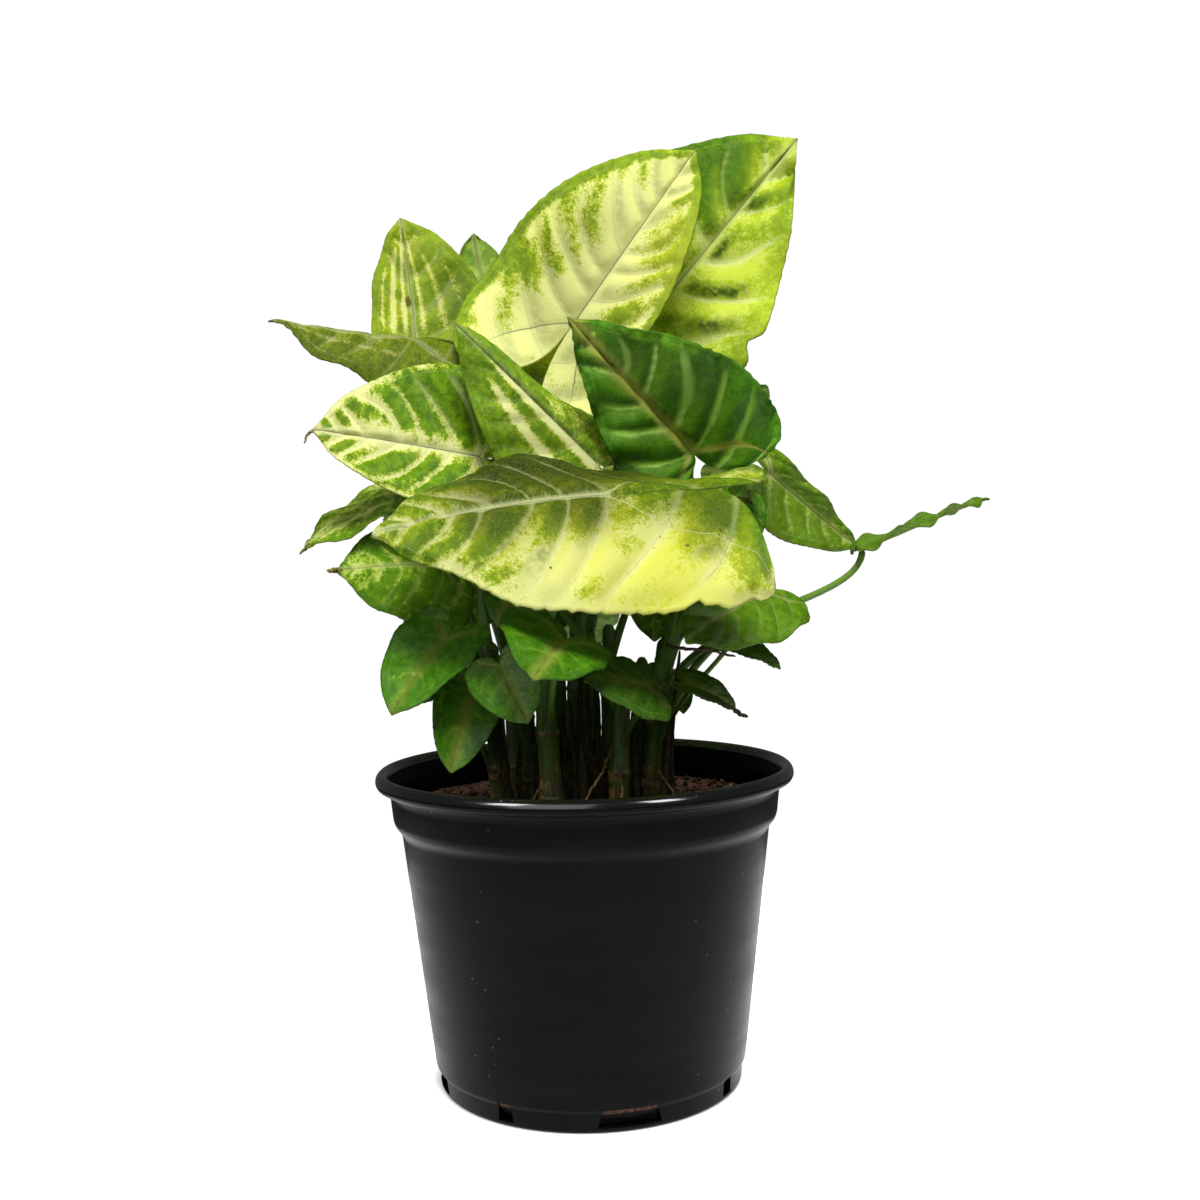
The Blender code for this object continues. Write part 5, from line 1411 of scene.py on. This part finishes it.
def free_of_canes(x, y, room):
    """Whether a place on the soil keeps its distance from every cane."""
    return all(math.hypot(x - s["at"][0], y - s["at"][1]) > s["radius"] + room for s in STEMS.values())


def scattered(rng, count, reach, room):
    """Places on the soil, even over its area and clear of the canes."""
    places = []
    while len(places) < count:
        r, a = reach * math.sqrt(rng.uniform()), rng.uniform(0, 2 * math.pi)
        if free_of_canes(r * math.cos(a), r * math.sin(a), room):
            places.append((r * math.cos(a), r * math.sin(a), SOIL_TOP + float(soil_level(r, a))))
    return places


def make_crumbs(name, count, seed, sizes, stretch, material, raised):
    """Lumps strewn over the soil, raised by a share of their size."""
    rng = np.random.default_rng(seed)
    parts = []
    for x, y, z in scattered(rng, count, SOIL_EDGE_R - 4, 2.0):
        size = rng.uniform(*sizes)
        parts.append(crumb(rng, (x, y, z + size * raised), size, stretch))
    add_loose(name, parts, material)


def strand(points, thick, thin, seed, sides=8, steps=26, jitter=0.25):
    """A thin uneven root or fibre through given points."""
    rng = np.random.default_rng(seed)
    path = curve_through(points, steps)
    path[1:-1] += rng.uniform(-jitter, jitter, (steps - 2, 3))
    radii = np.linspace(thick, thin, steps) * (1 + rng.uniform(-0.1, 0.1, steps))
    radii[-1] *= STRAND_BLUNT
    return tube(path, radii, sides)


# Roots, withered strands and dry leaf tips: points, first and last radius in millimetres, and a seed
ROOTS = (
    ([(10, -32, 124), (6, -40, 117), (0, -46, 108), (-3, -49, 99)], 0.5, 0.3, 3),
    ([(12, -31, 118), (13, -38, 111), (12, -44, 104), (13, -47, 99)], 0.45, 0.25, 4),
    ([(-15, -36, 112), (-19, -42, 106), (-24, -46, 100)], 0.45, 0.25, 5),
    ([(26, -13, 114), (31, -22, 107), (34, -28, 100)], 0.5, 0.25, 6),
    ([(4, 34, 114), (8, 42, 106), (10, 48, 100)], 0.6, 0.3, 7),
    ([(-29, -20, 118), (-32, -27, 109), (-33, -33, 100)], 0.45, 0.25, 10),
    ([(-4, -2, 120), (3, -8, 112), (7, -12, 100)], 0.5, 0.3, 11),
)
WITHERED = (
    ([(30, -24, 159), (34, -30, 158), (44, -27, 157), (54, -20, 154)], 0.7, 0.4, 8),
    ([(19, -30, 147), (24, -30, 146), (34, -26, 145)], 0.6, 0.3, 9),
    ([(52.6, -27.8, 136.2), (55, -28.6, 134.4), (57, -29, 134)], 0.9, 0.5, 15),
)
DRY_TIPS = (
    ([(-88.6, -34, 235), (-90.2, -34.3, 234), (-91.4, -34.6, 232.2), (-91.6, -34.7, 230.6)], 0.6, 0.3, 12),
    ([(-82.6, -30, 187.2), (-84.2, -30.5, 187.5), (-85.8, -31.2, 187.1)], 1.2, 0.5, 13),
    ([(-94.6, -23.8, 195.2), (-95.8, -24.3, 194.4), (-96.4, -24.6, 193.2)], 0.6, 0.3, 14),
)


def make_strands(name, strands, material):
    """Strands by their listed points, radii and seed."""
    parts = [strand(*values) for values in strands]
    add_loose(name, parts, material)


def make_stubs(name, count, seed, material):
    """Old leaf stalks and shoots that stand among the canes."""
    rng = np.random.default_rng(seed)
    parts = []
    for x, y, z in scattered(rng, count, STUB_REACH, 2.4):
        tall = rng.uniform(*STUB_TALL)
        lean = np.array([*(rng.uniform(-0.06, 0.06, 2) + 0.0016 * np.array([x, y])), 1.0]) * tall
        start = np.array([x, y, z - 3])
        bow = np.array([*rng.uniform(-1.5, 1.5, 2), 0.0])
        thick = rng.uniform(*STUB_THICK)
        points = [start, start + 0.5 * lean + bow, start + lean]
        own_seed = int(rng.integers(1000))
        parts.append(strand(points, thick, 0.45 * thick, own_seed, sides=10, steps=30, jitter=0.06))
    add_loose(name, parts, material)


def make_fibres(name, count, seed, material):
    """Thin fibres lying on the soil."""
    rng = np.random.default_rng(seed)
    parts = []
    for x, y, z in scattered(rng, count, SOIL_EDGE_R - 14, 3.0):
        turn, length = rng.uniform(0, 2 * math.pi), rng.uniform(5, 12)
        ahead = np.array([math.cos(turn), math.sin(turn), 0.0])
        aside = np.array([-ahead[1], ahead[0], 0.0]) * rng.uniform(-2.5, 2.5)
        start = np.array([x, y, z + 0.5])
        points = [start, start + ahead * length * 0.5 + aside + [0, 0, 0.9], start + ahead * length]
        own_seed = int(rng.integers(1000))
        parts.append(strand(points, 0.25, 0.14, own_seed, sides=6, steps=12, jitter=0.08))
    add_loose(name, parts, material)


# Stage


def look_at(item, target):
    """Turn a lamp towards its target."""
    item.rotation_mode = "QUATERNION"
    item.rotation_quaternion = (Vector(target) - item.location).to_track_quat("-Z", "Y")


def add_lamp(name, power, place, target, side, tall=None, mirrored=True, lights=True):
    """An area lamp. Glossy parts show it if it is mirrored, and matt ones if it lights."""
    light = bpy.data.lights.new(name, "AREA")
    light.shape = "RECTANGLE"
    light.size = side
    light.size_y = tall or side
    light.energy = power
    item = bpy.data.objects.new(name, light)
    item.location = place
    look_at(item, target)
    bpy.context.scene.collection.objects.link(item)
    item.visible_glossy = mirrored
    item.visible_diffuse = lights


def make_floor():
    """A plain pale floor: a thin round plate whose upper side is at the pot's foot."""
    profile = [(0, -4), (FLOOR_R - 2, -4), (FLOOR_R, -2), (FLOOR_R - 1, 0), (0, 0)]
    item = add_mesh("floor", *lathe(profile, FLOOR_SEGMENTS), named_materials("floor_white"))


def make_world():
    """A white background that the camera sees bright, while it lights the plant only faintly."""
    world = bpy.data.worlds.new("studio")
    bpy.context.scene.world = world
    g = Graph(world)
    rays = g.add("ShaderNodeLightPath").outputs["Is Camera Ray"]
    levels = {"Value": rays, "To Min": WORLD_LIGHT, "To Max": WORLD_SEEN}
    level = g.add("ShaderNodeMapRange", levels).outputs[0]
    background = g.add("ShaderNodeBackground", dict(Color=WHITE, Strength=level)).outputs[0]
    g.add("ShaderNodeOutputWorld", dict(Surface=background))


def add_camera(settings):
    """The camera at the photograph's angle."""
    pitch, roll = settings.pitch, settings.roll
    forward = Vector((0, math.cos(pitch), -math.sin(pitch)))
    up = Vector((0, math.sin(pitch), math.cos(pitch)))
    right = math.cos(roll) * Vector((1, 0, 0)) - math.sin(roll) * up
    up = right.cross(forward)
    turn = Matrix((right, up, -forward)).transposed()
    data = bpy.data.cameras.new("camera")
    data.sensor_width = SENSOR
    data.lens = settings.lens
    item = bpy.data.objects.new("camera", data)
    item.matrix_world = Matrix.Translation(settings.camera_at) @ turn.to_4x4()
    bpy.context.scene.collection.objects.link(item)
    bpy.context.scene.camera = item


# Properties, operators and panel


class PLANT_PG_leaves(bpy.types.PropertyGroup):
    through: FloatProperty(
        name="Light Through", description="Share of the light that a blade lets through", default=0.42,
        min=0.0, max=1.0, subtype="FACTOR")


class PLANT_PG_soil(bpy.types.PropertyGroup):
    crumbs: IntProperty(
        name="Crumbs", description="Number of crumbs that lie on the soil", default=900, min=0, max=3000)
    bark: IntProperty(
        name="Bark", description="Number of bark chips on the soil", default=90, min=0, max=400)
    grit: IntProperty(
        name="Grit", description="Number of pale grit grains on the soil", default=46, min=0, max=400)
    fibres: IntProperty(
        name="Fibres", description="Number of fibres on the soil", default=40, min=0, max=200)


class PLANT_PG_stage(bpy.types.PropertyGroup):
    camera_at: FloatVectorProperty(
        name="Camera Place", description="Where the camera stands", default=(0.007, -0.500, 0.190),
        unit="LENGTH", subtype="TRANSLATION")
    pitch: FloatProperty(
        name="Camera Pitch", description="How far the camera looks down", default=math.radians(1.8),
        unit="ROTATION")
    roll: FloatProperty(
        name="Camera Roll", description="How far the camera is turned about its axis",
        default=math.radians(1.3), unit="ROTATION")
    lens: FloatProperty(
        name="Lens", description="Focal length in millimetres", default=41.13, min=10, max=200)
    key: FloatProperty(
        name="Key Power", description="Power of the lamp above", default=13.0, unit="POWER")
    back: FloatProperty(
        name="Back Power", description="Power of the lamp behind", default=8.0, unit="POWER")
    fill: FloatProperty(
        name="Fill Power", description="Power of the lamp in front", default=2.2, unit="POWER")
    rim: FloatProperty(
        name="Rim Power", description="Power of the two panels that glossy parts mirror", default=4.0,
        unit="POWER")


class PLANT_OT_materials(bpy.types.Operator):
    """Make the materials of the blades, stalks, pot, soil and stage"""
    bl_idname = "plant.materials"
    bl_label = "Materials"

    def execute(self, context):
        through = context.scene.plant_leaves.through
        for family, colours in FAMILIES.items():
            blade_material("blade_" + family, colours, through, False)
            blade_material("blade_" + family + "_under", colours, through, True)
        stem_material()
        pot_material("pot_wall", rough=0.3, ior=1.14, coat=0.0)
        pot_material("pot_rim", rough=0.16, ior=1.5, coat=1.0)
        for name, tints in DRY_TINTS.items():
            dry_material(name, *tints)
        for name, tints in SOIL_TINTS.items():
            soil_material(name, *tints)
        plain_material("floor_white", colour=(0.92, 0.92, 0.92), roughness=0.9, gleam=0.5)
        return {"FINISHED"}


class PLANT_OT_leaves(bpy.types.Operator):
    """Add the blades with their relief and thickness"""
    bl_idname = "plant.leaves"
    bl_label = "Leaves"

    def execute(self, context):
        for name, blade in LEAVES.items():
            make_blade(name, blade)
        return {"FINISHED"}


class PLANT_OT_stems(bpy.types.Operator):
    """Add the canes with their leaf stalks"""
    bl_idname = "plant.stems"
    bl_label = "Stems"

    def execute(self, context):
        for name, values in STEMS.items():
            make_stem(name, values)
        return {"FINISHED"}


class PLANT_OT_pot(bpy.types.Operator):
    """Add the nursery pot"""
    bl_idname = "plant.pot"
    bl_label = "Pot"

    def execute(self, context):
        make_pot()
        return {"FINISHED"}


class PLANT_OT_soil(bpy.types.Operator):
    """Add the soil with its crumbs, bark, grit and fibres"""
    bl_idname = "plant.soil"
    bl_label = "Soil"

    def execute(self, context):
        settings = context.scene.plant_soil
        materials = named_materials("soil_brown", "soil_deep")
        item = add_mesh("soil_body", *lathe(soil_profile(), SOIL_SEGMENTS, soil_wave), materials)
        # Faces below SOIL_DEEP_Z, seen through the drain slots, take the nearly black tint: painted shade
        # inside the pot.
        for face in item.data.polygons:
            face.material_index = int(face.center.z < SOIL_DEEP_Z * MM)
        dress(item, ["soil"])
        for name, values in LITTER.items():
            make_crumbs(name, getattr(settings, name.removeprefix("soil_")), **values)
        make_fibres("soil_fibres", settings.fibres, seed=74, material="root_tan")
        return {"FINISHED"}


class PLANT_OT_strands(bpy.types.Operator):
    """Add the aerial roots, the withered strands, the dry leaf tips and the old stalks"""
    bl_idname = "plant.strands"
    bl_label = "Roots and Withered Strands"

    def execute(self, context):
        make_strands("aerial_roots", ROOTS, "root_tan")
        make_strands("withered_strands", WITHERED, "withered_dark")
        make_strands("dry_tips", DRY_TIPS, "tip_tan")
        make_stubs("old_stalks", 40, seed=61, material="old_stalk")
        return {"FINISHED"}


class PLANT_OT_stage(bpy.types.Operator):
    """Add the pale floor, the studio light and the camera"""
    bl_idname = "plant.stage"
    bl_label = "Stage"

    def execute(self, context):
        settings = context.scene.plant_stage
        make_floor()
        make_world()
        powers = (settings.key, settings.back, settings.fill, settings.rim, settings.rim)
        for (name, lamp), power in zip(LAMPS.items(), powers):
            add_lamp(name, power, **lamp)
        add_camera(settings)
        context.scene.view_settings.view_transform = "Standard"
        return {"FINISHED"}


OPERATORS = (
    PLANT_OT_materials, PLANT_OT_pot, PLANT_OT_soil, PLANT_OT_stems, PLANT_OT_leaves, PLANT_OT_strands,
    PLANT_OT_stage,
)
GROUPS = dict(plant_leaves=PLANT_PG_leaves, plant_soil=PLANT_PG_soil, plant_stage=PLANT_PG_stage)


class PLANT_PT_panel(bpy.types.Panel):
    bl_label = "Potted Arrowhead Plant"
    bl_idname = "PLANT_PT_panel"
    bl_space_type = "VIEW_3D"
    bl_region_type = "UI"
    bl_category = "Plant"

    def draw(self, context):
        for name, group in GROUPS.items():
            box = self.layout.box()
            for key in group.__annotations__:
                box.prop(getattr(context.scene, name), key)
        for operator in OPERATORS:
            self.layout.operator(operator.bl_idname)


CLASSES = (*GROUPS.values(), *OPERATORS, PLANT_PT_panel)


def register():
    for item in CLASSES:
        bpy.utils.register_class(item)
    for name, group in GROUPS.items():
        setattr(bpy.types.Scene, name, PointerProperty(type=group))


def unregister():
    for name in GROUPS:
        delattr(bpy.types.Scene, name)
    for item in reversed(CLASSES):
        bpy.utils.unregister_class(item)


def main():
    register()
    bpy.ops.plant.materials()
    bpy.ops.plant.pot()
    bpy.ops.plant.soil()
    bpy.ops.plant.stems()
    bpy.ops.plant.leaves()
    bpy.ops.plant.strands()
    bpy.ops.plant.stage()


if __name__ == "__main__":
    main()
